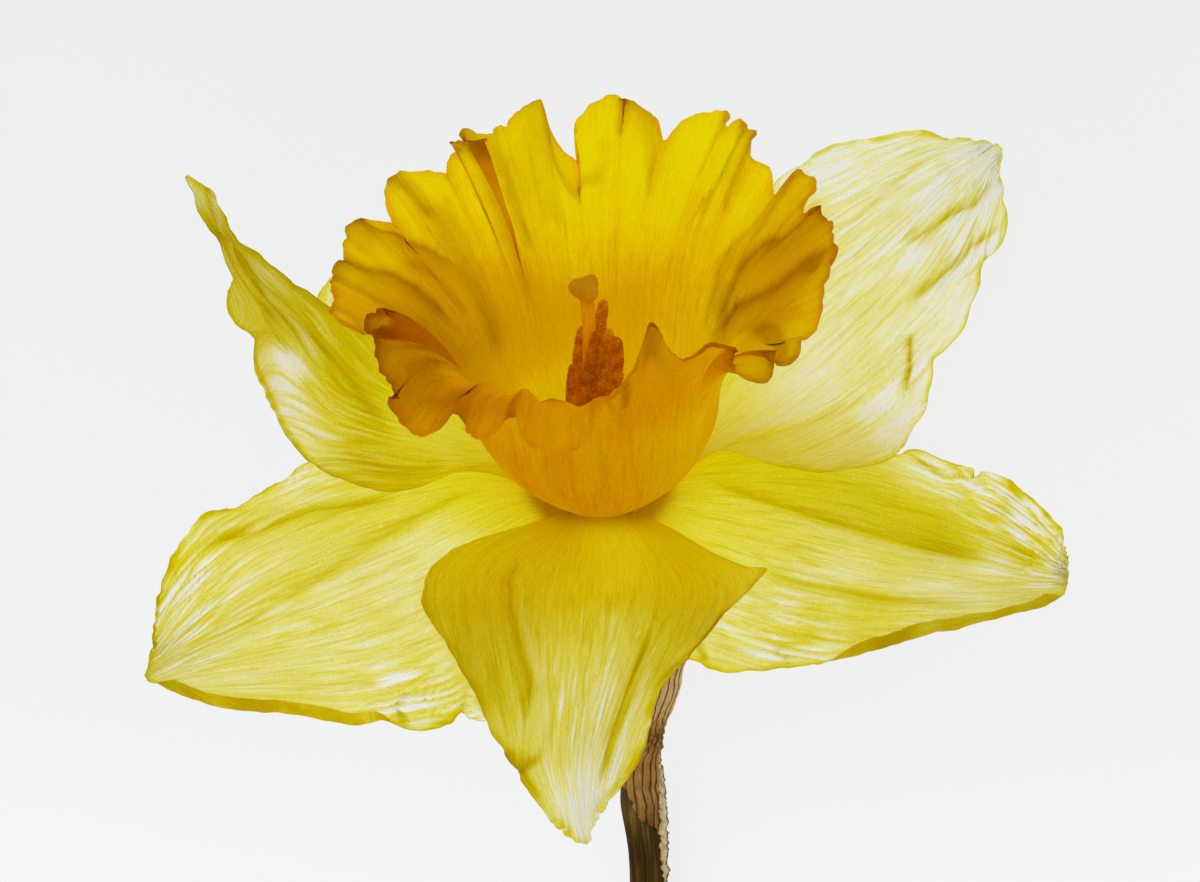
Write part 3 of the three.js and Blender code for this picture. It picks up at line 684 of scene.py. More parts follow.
INNER_FOOT = -0.6
petal("petal_front", -90, INNER_FOOT,
      left=[(7.5, 7, -0.1), (10, 9.2, 0.3), (12, 11.5, 0.5), (13.8, 13.7, 0.7), (14.2, 14.6, 0.7),
            (14.6, 15.9, 0.8), (16.4, 15.2, 0.9), (19, 13.5, 1), (21.4, 11.8, 1.2), (24.3, 10.2, 1.3),
            (28, 8, 1.4), (30, 6.4, 1.1), (32.6, 5, 0.8), (37.5, 4, 0.2), (40.3, 3.2, -0.3),
            (42.4, 1.8, -1), (44.9, -0.1, -2), (46.5, -0.7, -2.5), (47.8, -0.8, -2.9)],
      middle=[(13.5, 0, 1), (23.5, -0.5, 3), (33, -1.5, 3), (41, -2.5, 1), (46.5, -2, -1)],
      right=[(6.6, -6.6, -0.1), (9, -10.5, 0.4), (10, -12.5, 0.4), (11.3, -14.4, 0.4), (13.4, -16, 0.3),
             (15, -16.6, 0.3), (18.3, -17, 0.2), (20, -16.7, 0.1), (22.8, -15.2, -0.2), (26, -13.8, -0.4),
             (28.5, -12.5, -0.9), (31.2, -11.2, -1.5), (34.4, -10.1, -2.1), (35.8, -9.2, -2.4),
             (37.8, -8.2, -2.7), (38.8, -7.2, -2.9), (40.4, -6.7, -3), (42.5, -5.3, -3.3),
             (44.5, -4.2, -3.4), (46.3, -2.7, -3.2), (47.8, -2.1, -3)],
      tip=(48.4, -1.5, -3),
      creases=[([(12, -7.5), (16.4, -8.8), (22, -8.5), (27.1, -7.7), (31.4, -6.8), (35.1, -7), (37.6, -7.3)],
                -0.8, 0.8, 0.3, 1),
               ([(25, 5), (29.7, 3.8), (32.4, 3.1), (35.7, 2.2), (39.5, 1), (42.5, 0.3), (45, -0.5)],
                -0.7, 0.6, 0.4, 1),
               ([(36.4, -9), (38, -7.9), (38.9, -7.2), (39.5, -6), (40, -5.2)], 0.4, 0.5, 0.5, 0)],
      rolls=[(-1, 0.79, 0.985, 0.3, 0.7, 2.8), (1, 0.4, 0.97, 0.3, 0.4, 2.6)],
      patches=[(28, 3, 8, 0.18, 0.1), (24, -2, 7, 0.08, 0.1), (31, -9, 5, 0.1, 0), (8, 0, 6, -0.1, 0),
               (17.5, 15, 5, -0.1, 0), (45, -1.5, 5, -0.25, 0.3), (38, 0, 4, -0.12, 0.3),
               (34.7, -3.7, 5, -0.12, 0.3), (20, -13, 7, 0.12, 0.1, 0.04), (19, 9.7, 8, 0.1, 0, 0.02),
               (46.5, -1, 5, -0.3, 0.2, -0.12), (33, 4, 4, -0.15, 0), (3, 0, 5, 0, 0, -0.3),
               (20, 3, 6, 0.08, 0, 0.08, 0.1), (24, 9, 5, 0, 0, 0.08), (24, -8, 7, 0.08, 0, 0.1, 0.1),
               (31, -11, 5, 0.1, 0, 0.1), (40, 7, 5, -0.15, 0, -0.1), (33, 10, 3, -0.1, 0, -0.05),
               (12, 0, 9, 0.1, 0, 0, 0.35), (18, 12, 6, 0, 0, 0, 0.3), (17, -12, 6, 0, 0, 0, 0.2),
               (25, 2, 4, -0.15, 0), (23, 10, 4, 0, 0, 0.08), (48, 1, 3, -0.2, 0),
               (29, -4, 4, -0.15, 0, -0.06)],
      seed=4, deep=0.5, dim=0.08)

petal("petal_upper_right", 34, INNER_FOOT,
      left=[(10, 5, 0.2), (15, 7.5, 1), (22, 12, 5), (28.5, 15.8, 9.5), (34.4, 17.4, 13.1),
            (37, 16.5, 14.2), (38.4, 16.7, 14.6), (40.2, 16.3, 15.2), (41.7, 15.2, 15.8),
            (43.1, 13.9, 16.4), (44.6, 13, 16.7), (46.6, 11.6, 17.2), (48, 9.7, 17.7), (49, 8, 17.8),
            (50.6, 6.5, 17.9), (51.5, 5.3, 17.9)],
      middle=[(11.5, 0.5, 0.7), (21.5, 1.5, 5), (30, 1.5, 9.5), (37, 1.5, 13), (45.2, 2.6, 16)],
      right=[(11.6, -3, 0.3), (13.7, -5.2, 0.5), (14.7, -7.3, 0.7), (16, -9.8, 0.9), (17.7, -12, 1.3),
             (19.7, -14, 1.9), (22.1, -15.7, 2.6), (24, -16.2, 3), (25.4, -16.1, 3.7), (27, -15.3, 4.5),
             (29.4, -14.4, 5.7), (30.6, -13.2, 6.5), (32, -12.2, 7.3), (33.2, -10.8, 8.1),
             (35.4, -10.6, 8.8), (37, -10.2, 9.4), (38.5, -9.3, 10), (39.6, -8.3, 10.5),
             (41.2, -7.4, 11.1), (43.1, -5.4, 11.9), (44, -5.1, 12.6), (45, -5.3, 13.2),
             (46.3, -4.9, 14.4), (47.3, -3.9, 15.4), (48.1, -2.1, 16.4), (48.8, -1.4, 16.8),
             (49.7, 0.6, 17.3), (51.3, 2.3, 17.7)],
      tip=(52.4, 3.7, 18),
      creases=[([(50, 1.4), (48.8, 0.7), (46.1, -0.2), (43.6, 0.5), (40.9, 0.6), (39.2, 0.8), (37, 1)],
                -0.6, 0.9, 0.35, 1),
               ([(47.4, -4), (45.6, -3.9), (43.3, -3.5), (40.1, -4.1), (36.6, -4.5), (34, -4.8)],
                -0.8, 0.6, 0.4, 1),
               ([(33, -7.2), (32.4, -7.9), (30.6, -10.2), (29.5, -11.2), (28.8, -12)], -0.8, 0.35, 0.5, 0),
               ([(25, -8.6), (22, -8.2), (18.4, -6.3), (14.3, -4), (12, -3)], -0.3, 0.9, 0.25, -1),
               ([(47, 8), (42, 7.3), (36.9, 6.8), (33, 6)], -0.2, 0.7, 0.15, 1)],
      rolls=[(1, 0.62, 0.9, 0.22, 0.1, 2.4), (-1, 0.82, 0.99, 0.2, 0.1, 2.2)],
      patches=[(38, 5, 12, -0.05, 0.3), (48, 3.5, 4, -0.2, 0.7), (42, -3.5, 4, -0.1, 0.5),
               (32.5, 12, 6, 0.15, 0), (22, 8, 7, 0.14, 0), (30, 4, 6, 0.08, 0.1), (32, -2, 4, 0.06, 0),
               (23, -4, 5, -0.2, 0), (28, -12, 5, -0.16, 0.6), (12.5, -2, 4, -0.1, 0),
               (39, 13, 7, -0.18, 0.2, -0.03), (50, 4, 5, -0.12, 0.2), (17, 3, 4, 0.15, 0),
               (26, 12, 5, 0.12, 0), (14, -4, 6, 0, 0, -0.12), (27, -7, 3, 0.18, 0),
               (27, -17, 5, -0.2, 0, -0.05), (40, -12, 5, -0.2, 0, -0.05), (37, 17, 3, -0.3, 0),
               (51, 2, 5, -0.12, 0, -0.06), (32, 12, 3, 0.1, 0, 0.1), (12, 2, 5, 0, 0, 0, 0.2),
               (17, -6, 5, -0.05, 0, -0.12), (43, -11, 4, -0.12, 0)],
      seed=5, deep=0.2, dim=-0.02)

petal("petal_upper_left", 150, INNER_FOOT,
      left=[(9, 4.5, 0.2), (12.2, 6, 0.5), (13.4, 8.6, 0.8), (15, 12, 1.2), (16.3, 13.7, 1.8),
            (18.2, 15.1, 2.5), (19.6, 15.6, 3), (21.4, 16, 3.6), (23.4, 16, 4.2), (25.2, 16.3, 5.9),
            (26.5, 16, 7.1), (27.5, 15.6, 8), (29, 14.9, 9.5), (30.1, 14.2, 10.7), (31.4, 13.5, 11.9),
            (31.9, 13, 12.8), (32.3, 12.4, 13.7), (33, 12.6, 14.6), (33.6, 13, 15.2), (34.1, 13.2, 16),
            (34.8, 12.8, 17.1), (35.5, 11.6, 18.2), (35.6, 10.7, 18.4), (36.8, 9.9, 18.8),
            (38.5, 8.5, 19.4), (40.2, 7.3, 20), (43, 5.5, 20.9), (44.7, 4.1, 21.6)],
      middle=[(10, 0.5, 0.4), (15.5, 7, 5), (22, 12.5, 10), (28, 13, 16), (35, 10.5, 19.5), (41, 6.2, 21)],
      right=[(12, -4, 0.8), (14, -0.8, 5), (15.5, 2.7, 8.9), (18, 5, 12.2), (20.2, 7.7, 15.3),
             (22, 8.8, 16.4), (23.5, 9.2, 17.4), (25.2, 9.8, 18.5), (27.2, 9.7, 19.3), (29, 9.8, 19.8),
             (31, 9.4, 20.4), (33.4, 9, 21), (35.6, 8.4, 21.2), (37.8, 7.5, 21.4), (39.8, 5.9, 21.5),
             (41.6, 4.4, 21.7), (43, 3.2, 21.8), (44.2, 2.8, 21.9), (45.5, 2.6, 22)],
      tip=(46.8, 2.3, 22),
      creases=[([(45.5, 2), (44.2, 2.8), (42, 5.2), (40.3, 7), (37.1, 8.6), (34.6, 10), (32.5, 11.1),
                 (30, 12.4)], -0.8, 0.5, 0.4, 1),
               ([(33, 11), (31.3, 12.2), (27.3, 12.5), (23.3, 11.8), (19.4, 10.7), (17.1, 10)],
                -0.5, 1.1, 0.3, 0),
               ([(22, 15), (16, 11.9), (13.2, 6.9)], -0.2, 1.3, 0.25, 0)],
      rolls=[(1, 0.35, 0.62, 0.25, 0.15, 2.6), (1, 0.68, 0.76, 0.2, 0.1, 2.4)],
      patches=[(22, 8, 4.5, 0.45, 0), (26, 11.5, 4, 0.2, 0.1), (18, 10, 3, 0.2, 0),
               (26, 14.5, 3.5, -0.25, 0.4), (20, 13, 4, -0.12, 0.4), (38, 9, 5, 0.12, 0.3, 0.1),
               (12, 3, 5, -0.1, 0), (31, 10.5, 4, 0.05, 0.2, 0.12), (26, 10.5, 4, 0.05, 0, 0.08),
               (46, 2, 4, -0.3, 0.2, 0.02), (28, 16, 3, -0.15, 0.2), (17, 8, 3.5, -0.25, 0, -0.1),
               (26, 17, 4, -0.15, 0), (33, 9, 5, 0, 0, 0.09), (42, 7, 5, 0, 0, 0.09),
               (27, 2.5, 4, -0.12, 0)],
      seed=6, deep=0.46)

# ---- trumpet ---------------------------------------------------------------------------------------------
# The corona is one deep golden cup of the same thin tissue, ruffled at its rim into a dozen curled lobes.
# It grows inside the petals, round the stamens; pleats run from the notches of the rim down into the wall.

WALL = [(5.6, -0.2), (6.3, 0.5), (7.9, 2.1), (10.2, 4.9), (12.0, 8.8), (12.5, 12.0)]
SHOULDER = 14.5                    # radius where the wall bends on its way to the rim
LEAN = -0.06                       # sideways drift for each mm of height
ROUND = 560                        # columns round the rim
PER_DEGREE = 0.35                  # mm round the wall for each degree, in FOLDS and GLOW
GIRTH = 14                         # mean radius that the grain wraps round
LOW_ROWS = 18
HIGH_ROWS = 44
RIM = [                            # angle, radius, height, height of the bend on the way there
    (-173.7, 23.9, 25.8, 19.5), (-163.1, 24.3, 27.6, 21), (-157.1, 25, 28.8, 21.5),
    (-151.5, 25.5, 29.8, 22), (-149, 25.3, 30, 22), (-146.7, 24.3, 29.2, 22), (-146.1, 23.3, 28.2, 23),
    (-149.7, 21.6, 27.8, 23.5), (-150.3, 20.9, 28.8, 24), (-148.7, 20.9, 30, 24.5),
    (-148, 21.5, 30.2, 24.5), (-146.5, 22.3, 30, 24.5), (-146.7, 23, 29.6, 24.5), (-146.6, 23.3, 29, 25),
    (-145.8, 23.4, 28.4, 25), (-145.5, 22.8, 27.6, 25.5), (-144.5, 22.8, 26.8, 26),
    (-144.8, 23.1, 25.2, 26.5), (-144.2, 23, 24, 27), (-144.4, 22, 22.4, 27), (-145.6, 21.6, 21, 27),
    (-145.5, 22.1, 20.6, 27), (-145.4, 22.5, 20, 27), (-144.5, 22.7, 19.2, 27), (-140.4, 22.6, 18.8, 27),
    (-135.3, 22.5, 18.9, 27), (-130, 21.9, 20, 27), (-129, 20.4, 20.4, 27), (-128.7, 19.6, 20.8, 27),
    (-126.2, 19.7, 20.2, 27), (-123.4, 20.7, 20.4, 27), (-118, 21, 20.7, 27), (-114, 20, 21.2, 27),
    (-112, 18.2, 22, 27), (-109, 19.4, 21.5, 27), (-106, 20.2, 20.8, 27), (-102, 20.5, 20.5, 27),
    (-100.2, 20.5, 20.4, 31), (-97, 20.5, 20.3, 31), (-95, 20.4, 20.4, 27), (-91.7, 20, 20.8, 27),
    (-87, 19, 22.2, 27), (-84, 16.6, 23, 25), (-80, 14.8, 22.8, 21), (-77, 14.7, 23.2, 20),
    (-73.8, 15, 24.6, 20), (-70.4, 15, 26.3, 22), (-68.2, 15.5, 28.8, 23), (-66.2, 16, 31, 24),
    (-63.2, 16, 29.8, 23), (-60, 15.6, 27.2, 22), (-56, 15.2, 25.4, 21), (-51.9, 15, 24.4, 20),
    (-47, 15, 24.2, 21), (-41.8, 15.3, 25, 22), (-38.4, 15.6, 24.9, 23), (-36.5, 16.2, 24.6, 23.5),
    (-32.4, 17, 23.8, 24), (-34.6, 16.8, 23.1, 24), (-37.4, 17.2, 22.5, 24), (-40, 19, 22.5, 24),
    (-41.2, 21, 23.2, 24), (-39.8, 22.1, 24, 24), (-37.3, 21.9, 25.2, 24), (-35.8, 21.6, 26.2, 24),
    (-36.3, 22.2, 26, 24), (-36.1, 23, 26, 24), (-34.9, 23.6, 26.1, 24), (-32.5, 23.6, 26.3, 24),
    (-30.6, 23.2, 26.9, 24), (-30, 24, 27.3, 23.5), (-28.6, 24.3, 27.8, 23), (-26.4, 24.3, 28.2, 23),
    (-24.5, 24.4, 29.3, 23), (-20.9, 23.9, 30, 23.5), (-18.6, 23.6, 30.4, 24), (-16.6, 23.9, 30.7, 24),
    (-13.7, 23.8, 31, 24), (-8.3, 23.8, 31, 24), (-2.3, 23.8, 30.6, 24), (1.6, 23.6, 30.2, 23.5),
    (4.4, 23.7, 30, 23), (8.8, 23.8, 29.4, 22.5), (13.3, 23.4, 28.8, 22), (15.4, 23.4, 29.4, 22),
    (17, 22, 28, 22), (18.6, 23.4, 30, 23), (22, 24, 30.2, 23), (25, 24, 30, 23), (28, 23.2, 30.2, 23),
    (30, 22, 28, 22), (32, 21.6, 26.6, 21), (35, 22.4, 27.4, 21), (38, 22.8, 28.2, 21),
    (40, 21.6, 29.2, 22), (42.4, 22.6, 31.4, 23), (44.5, 23, 31.4, 24), (46, 22.2, 30.8, 24),
    (48.4, 23.5, 31.4, 24), (50, 22, 30.8, 24), (52.4, 23, 31.8, 24), (56, 24.2, 30.8, 23),
    (60, 24.5, 29.6, 22), (65, 24, 28.6, 21), (68.5, 21.6, 27.1, 21), (72, 23.4, 28, 21),
    (75.5, 24.5, 28.8, 22), (79, 24.2, 29.8, 22), (80, 23.4, 29.6, 22), (82.5, 25, 29.5, 22),
    (86.5, 25, 28.7, 22), (90, 24.8, 27.4, 21), (92.6, 24, 26.1, 20), (91.6, 21, 24.1, 19),
    (95, 21.6, 24.6, 19), (97.6, 22.8, 26.6, 19.5), (98.4, 24, 28.1, 20.5), (99.6, 24.8, 28.9, 21),
    (101.4, 25.2, 28.9, 21), (103, 24.8, 28.8, 21), (106.9, 24.2, 28, 21), (109.4, 23.5, 27.3, 20),
    (110.1, 24.1, 27.3, 20), (111.4, 24, 27.2, 20), (112.1, 23.4, 27, 20), (114.2, 23.8, 27, 20),
    (116.2, 24, 27.2, 20), (118.6, 24.7, 27.6, 20), (119.2, 23.5, 27.4, 20), (119.8, 22.5, 27.4, 20),
    (116.6, 22.1, 27.4, 20), (119, 23.1, 26.4, 20), (120.1, 24.5, 26.3, 20), (122.3, 24.9, 26.2, 20),
    (122.2, 24.3, 25.8, 19.5), (122.1, 23.7, 25.3, 19), (122.4, 24.5, 25.3, 19), (124.4, 23.8, 24.9, 18.5),
    (127.3, 22.3, 24.4, 18), (128.3, 23.4, 24.5, 18), (130.8, 23.8, 24.9, 18), (134, 24.8, 25, 18),
    (138, 25.2, 25.6, 18), (141, 25, 25.3, 18), (145, 23.6, 24.6, 17), (151, 21, 23.8, 17),
    (153, 21.4, 24.6, 17), (156, 24.6, 24.6, 17), (159.7, 24.5, 24.2, 17), (162.8, 24.5, 23.8, 17),
    (166, 23.6, 23.4, 17), (167.4, 23.7, 23.4, 17), (168.2, 24.5, 23.4, 17), (169.8, 24.5, 23.2, 17.5),
    (172.8, 24, 23.6, 18), (177.8, 24, 24.4, 18.5),
]
FOLDS = [                          # angle and mm up from the foot; then height, width, shade and shaded side
    ([(117, 32.5), (119, 30), (120.5, 27), (120, 24), (118.5, 21), (118, 18)], -0.25, 1.0, 0.3, 0),
    ([(118, 33), (119.5, 32), (121, 33)], 0, 0.8, 0.6, 0),
    ([(113, 32), (111.5, 29), (112, 26), (112.5, 23)], -0.3, 0.8, 0.4, 0),
    ([(101, 33), (102.5, 30.5), (104.5, 28), (103, 25)], -0.3, 1.9, 0.3, 0),
    ([(100, 30.5), (94, 29), (87, 27)], -0.3, 0.7, 0.4, 0),
    ([(84, 29), (85, 25.5)], -0.2, 0.7, 0.25, 0),
    ([(139, 33), (137.5, 31.6), (137, 29.5)], -0.3, 0.7, 0.55, 0),
    ([(136, 28), (137, 24), (139, 19), (140, 14)], -0.3, 1.8, 0.4, 0),
    ([(157.6, 34), (156.2, 32), (149.5, 31), (145, 28.6), (142, 26.5)], -0.4, 1.6, 0.75, 1),
    ([(168, 34), (166.2, 32.4), (163.8, 30.3), (160, 27.8), (158.4, 25.9), (157.6, 23)],
     -0.5, 1.7, 0.8, 1),
    ([(155.5, 27.8), (153.3, 27.1), (151.5, 25.5), (149.8, 22)], -0.2, 1.0, 0.3, 0),
    ([(-161, 33), (-160, 31), (-153, 31), (-147, 33)], -0.2, 1.0, 0.4, 0),
    ([(-147, 34), (-148.5, 31), (-150, 29), (-149, 26), (-147, 23)], -0.1, 2.6, 0.16, 0),
    ([(-141.2, 32.5), (-141.6, 29.4), (-139.9, 27)], -0.1, 1.4, 0.3, 0),
    ([(-150, 25), (-143, 27), (-141, 31)], 0, 2.2, 0.15, 0),
    ([(-134.5, 29.5), (-133.5, 27.5), (-130, 26)], -0.4, 1.0, 0.55, 0),
    ([(-127.5, 32), (-128.5, 28)], -0.3, 1.3, 0.5, 0),
    ([(-125, 34), (-122, 30), (-120, 27)], -0.2, 1.2, 0.3, 0),
    ([(176, 33), (175, 29), (172, 24)], -0.3, 1.2, 0.3, 0),
    ([(79, 33), (80.5, 30.5)], -0.3, 0.5, 0.6, 0),
    ([(76, 33), (72, 31), (70, 28)], -0.3, 1.3, 0.35, 0),
    ([(53, 33), (53.5, 30.5), (54.5, 28)], -0.4, 0.8, 0.45, 0),
    ([(48.5, 33), (46.5, 31), (46.5, 29), (49, 25.5)], -0.6, 1.4, 0.6, -1),
    ([(42.5, 33), (41, 31.5), (40, 28)], -0.4, 0.7, 0.5, 0),
    ([(31, 33), (31, 30), (34, 27), (36, 24), (33, 20)], -0.5, 2.4, 0.55, -1),
    ([(12.7, 33.5), (14.5, 31), (17, 29), (22, 26.7), (24.5, 24), (25, 19)], -0.6, 2.2, 0.7, -1),
    ([(-3.5, 31.2), (-2.5, 29), (-3, 26.5), (8, 24), (16, 21.5), (21, 19)], -0.7, 2.1, 0.75, -1),
    ([(-4, 30.2), (-7, 30.6), (-10, 31)], -0.2, 0.7, 0.45, 0),
    ([(-2, 20.5), (-20, 25), (-26, 27), (-34.5, 32)], -0.3, 1.4, 0.4, -1),
    ([(-20, 26), (-22, 27.4), (-26, 28.8), (-31, 31.5)], -0.4, 1.3, 0.3, 1),
    ([(-46, 33), (-43, 32.5), (-38, 34)], 0, 1.8, 0.35, 0),
    ([(-36, 26), (-37, 32)], 0, 2.0, 0.12, 0),
    ([(-65, 33), (-65, 28.5)], 0, 1.5, 0.6, 0),
    ([(-77, 32), (-76, 26)], -0.4, 0.5, 0.5, 0),
    ([(-101, 26), (-97, 25), (-92, 24.5)], 0, 0.9, 0.6, 0),
    ([(-97, 24), (-90, 25.5), (-82, 25)], 0, 1.0, 0.3, 0),
    ([(-112, 33), (-112, 29)], -0.3, 0.8, 0.6, 0),
    ([(162, 22.5), (162, 20.5), (161.2, 18.5)], 0.2, 0.35, -0.25, 0),
]
GLOW = [                           # painted light and shade: angle, mm up, breadth and height in mm, how much deeper and darker
    (-150, 26, 9, 9, 0.4, 0), (-130, 28, 9, 9, 0.35, 0), (150, 18, 9, 9, 0.4, 0.02),
    (175, 24, 9, 8, 0.35, 0.05), (130, 17, 13, 7, 0.45, 0.1), (165, 19, 9, 9, 0.4, 0.18),
    (60, 16, 14, 6, 0.3, 0.02), (76, 26.5, 20, 6, -0.2, -0.18), (50, 24.5, 9, 4, -0.1, -0.08),
    (37, 29, 6, 5, -0.15, -0.12), (5, 27, 12, 7, 0.5, 0.2), (-17, 27, 8, 6, 0.45, 0.2),
    (-68, 29, 10, 7, 0.45, 0.08), (-60, 24, 8, 6, 0.3, 0.03), (-95, 27, 8, 6, 0.3, 0.03),
    (-90, 14, 14, 9, 0.3, -0.01), (-40, 12, 11, 6, -0.2, -0.16), (-120, 12, 9, 9, 0.15, 0),
    (40, 22, 9, 9, 0.15, 0), (115, 28, 8, 6, 0.05, 0), (125, 13, 12, 5, 0.25, 0.14),
    (160, 14.5, 8, 6, 0.25, 0.16), (173, 20, 6, 6, 0.2, 0.18), (85, 13.5, 14, 4, 0.3, 0.05),
    (62, 19, 7, 5, 0.25, 0.03), (122, 6, 10, 4, -0.1, -0.14), (-38, 28, 5, 5, -0.3, -0.18),
    (-6, 29, 5, 3.5, 0.2, 0.1), (7, 18, 4, 4, 0.3, 0.08), (-143, 21, 4, 3, 0.1, 0.2),
    (-66, 30, 4, 5, 0.25, 0.05), (-52, 30.5, 4, 4, 0.25, 0.12), (22, 29, 5, 5, 0.2, 0.05),
    (-167, 31, 5, 4, 0.1, 0.1), (-170, 22, 7, 7, 0.35, 0.16), (-149, 24, 3.5, 6, -0.45, 0.04),
    (-37, 31, 2.5, 3, 0.1, 0.08), (-143.5, 31.5, 3, 4, 0.05, 0.16), (133, 16, 12, 8, 0.22, 0),
    (155, 14.5, 7, 5, 0.15, 0.05), (-68, 23, 10, 6, 0.2, 0.02), (165, 29, 3, 4, -0.1, -0.1),
    (175, 23, 6, 5, 0.1, 0.14), (53, 31, 3, 3, -0.1, -0.1), (37, 30, 5, 4, -0.1, -0.1),
]


def rolling_mean(values, half):
    """The mean of each value and its `half` neighbours on both sides, round a ring."""
    window = np.ones(2 * half + 1) / (2 * half + 1)
    return np.convolve(np.concatenate([values[-half:], values, values[:half]]), window, "valid")


def trumpet():
    ring = [(r * math.cos(math.radians(a)), r * math.sin(math.radians(a)), z, bend) for a, r, z, bend in RIM]
    edge = smooth_line(ring, ROUND, closed=True)
    turn = np.unwrap(np.arctan2(edge[:, 1], edge[:, 0]))
    step = 2 * math.pi * np.arange(ROUND) / ROUND
    base = rolling_mean(rolling_mean(turn - step, 14), 14) + step
    radius = np.hypot(edge[:, 0], edge[:, 1])
    calm = rolling_mean(rolling_mean(radius, 16), 16)
    pleat = radius - calm
    bend = rolling_mean(edge[:, 3], 4)
    wall = smooth_line([(r, z, 0) for r, z in WALL], LOW_ROWS)
    rows = [(np.full(ROUND, r) + 0.1 * pleat * smoothstep(5, 14, z), np.full(ROUND, z), base)
            for r, z, _ in wall]
    start_r, start_z, _ = rows[-1]
    for i in range(1, HIGH_ROWS + 1):
        t = i / HIGH_ROWS
        w0, w1, w2 = (1 - t) ** 2, 2 * t * (1 - t), t * t
        rows.append((w0 * start_r + w1 * (SHOULDER + 0.25 * pleat) + w2 * radius,
                     w0 * start_z + w1 * bend + w2 * edge[:, 2],
                     base + (turn - base) * smoothstep(0.2, 1.0, np.full(1, t))))
    points = np.array([np.stack([r * np.cos(a), r * np.sin(a), z], -1) for r, z, a in rows])
    points[..., 0] += LEAN * points[..., 2]
    count = len(rows)
    v = np.linspace(0, 1, count)[:, None] * np.ones((1, ROUND))
    around = base[None] * np.ones((count, 1))
    ridge = np.array([[noise.noise(Vector((math.cos(a) * 9, math.sin(a) * 9, z * 2.5)))
                       for a, z in zip(ra, rz)] for ra, rz in zip(around, v)])
    soft = np.array([[noise.noise(Vector((math.cos(a) * 3, math.sin(a) * 3, z * 4)))
                      for a, z in zip(ra, rz)] for ra, rz in zip(around, v)])
    length = np.concatenate([[0], np.cumsum(np.linalg.norm(np.diff(points, axis=0), axis=2).mean(1))])
    length = length[:, None] * np.ones((1, ROUND))
    # The tone is deeper down the pleats' valleys and paler on their ridges, as painted shade and light; it
    # is also deeper towards the foot, and the very edge of the rim is darker.
    valley = np.clip(-pleat / 1.5, -1, 1)[None] * smoothstep(0.35, 0.95, v)
    tone = 0.42 + 0.14 * valley + 0.2 * smoothstep(18, 6, length) + 0.15 * soft
    shade = 0.04 + 0.06 * np.exp((length - length[-1, 0]) / 0.4)
    rise = 0.12 * ridge * smoothstep(0.2, 0.6, v) + 0.25 * soft * smoothstep(0.4, 0.9, v)
    degrees = np.degrees(around)
    for line, height, width, painted_shading, one_side in FOLDS:
        gap, side, _ = near_line([(PER_DEGREE * a, z) for a, z in line], PER_DEGREE * degrees, length)
        fade = np.exp(-((gap / width) ** 2))
        if one_side:
            fade = np.where(side * one_side > 0, np.exp(-gap / width), np.exp(-gap / 0.15))
        rise += height * fade
        shade += painted_shading * fade
    # GLOW paints light and shade on the cup: deeper and darker in some places, paler and lighter in others.
    for a, z, wide, tall, deeper, darker in GLOW:
        turned_by = (degrees - a + 180) % 360 - 180
        fade = np.exp(-((PER_DEGREE * turned_by / wide) ** 2) - ((length - z) / tall) ** 2)
        tone += deeper * fade
        shade += darker * fade
    normal = normals_of(np.concatenate([points[:, -1:], points, points[:, :1]], 1))[:, 1:-1]
    points = points + normal * rise[..., None]
    jag = np.array([noise.noise(Vector(p) * 1.1) * 0.35 + noise.noise(Vector(p) * 2.7) * 0.07
                    for p in points[-1]])
    out = points[-1] - points[-3]
    out /= np.linalg.norm(out, axis=1, keepdims=True)
    points += (smoothstep(0.93, 1.0, v) * jag[None])[..., None] * out[None]
    outside = normal[-1] * np.sign((normal[6] * points[6] * (1, 1, 0)).sum())
    curl = 0.24 + 0.14 * np.array([noise.noise(Vector(p) * 0.6) for p in points[-1]])
    rim = [points[-1] + out * (curl * math.sin(b))[:, None] + outside * (curl * (1 - math.cos(b)))[:, None]
           for b in (0.5, 1.0, 1.5, 2.0, 2.5, 2.9)]
    points = np.concatenate([points, rim])
    pad = [(0, len(rim)), (0, 0)]
    around, tone, shade = np.pad(around, pad, "edge"), np.pad(tone, pad, "edge"), np.pad(shade, pad, "edge")
    length = np.pad(length, pad, "linear_ramp", end_values=length[-1, 0] + 1)
    grow = np.stack([np.cos(around) * GIRTH, np.sin(around) * GIRTH, length], -1)
    return sheet_of("trumpet", points, HEAD, {"grow": grow, "tone": tone, "shade": shade}, closed=True)


def trumpet_finish():
    material, tree, shader = new_material("trumpet_gold", 0.5)
    veins = grown(tree, (2.2, 2.2, 0.1), 3.0, 0.6, 0.3)
    clouds = grown(tree, (0.3, 0.3, 0.1), 3.0)
    wrinkles = grown(tree, (1.1, 1.1, 0.6), 3.0, 0.65, 0.5)
    cells = grown(tree, (3.5, 3.5, 3.0), 2.0, 0.7)
    lines = veined(tree, (1.0, 1.0, 0.06), 0.4, 0.05)
    offset = node_of(tree, "Math", {0: attribute_of(tree, "tone"), 1: -0.68}, operation="ADD").outputs[0]
    tone = sum_of(tree, offset, (veins, 0.3), (clouds, 0.35), (wrinkles, 0.35), (cells, 0.25), (lines, 0.18))
    colour = ramp_of(tree, tone, [(0.0, (1.0, 0.86, 0.0)), (0.35, (0.99, 0.77, 0.0)),
                                  (0.65, (0.97, 0.65, 0.0)), (1.0, (0.93, 0.5, 0.0))])
    offset = node_of(tree, "Math", {0: attribute_of(tree, "shade"), 1: -0.14}, operation="ADD").outputs[0]
    amount = sum_of(tree, offset, (veins, 0.12), (wrinkles, 0.2), (lines, 0.08))
    colour = shaded(tree, colour, amount, (0.5, 0.2, 0.0))
    tree.links.new(colour, shader.inputs["Base Color"])
    ridges = node_of(tree, "Math", {0: wrinkles, 1: 0.8, 2: veins}, operation="MULTIPLY_ADD").outputs[0]
    bump_of(tree, shader, ridges, 0.0004)
    let_light_through(tree, shader, colour, 0.93)
    return material


corona = trumpet()
corona.data.materials.append(trumpet_finish())
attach(corona, "root")
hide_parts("corona")

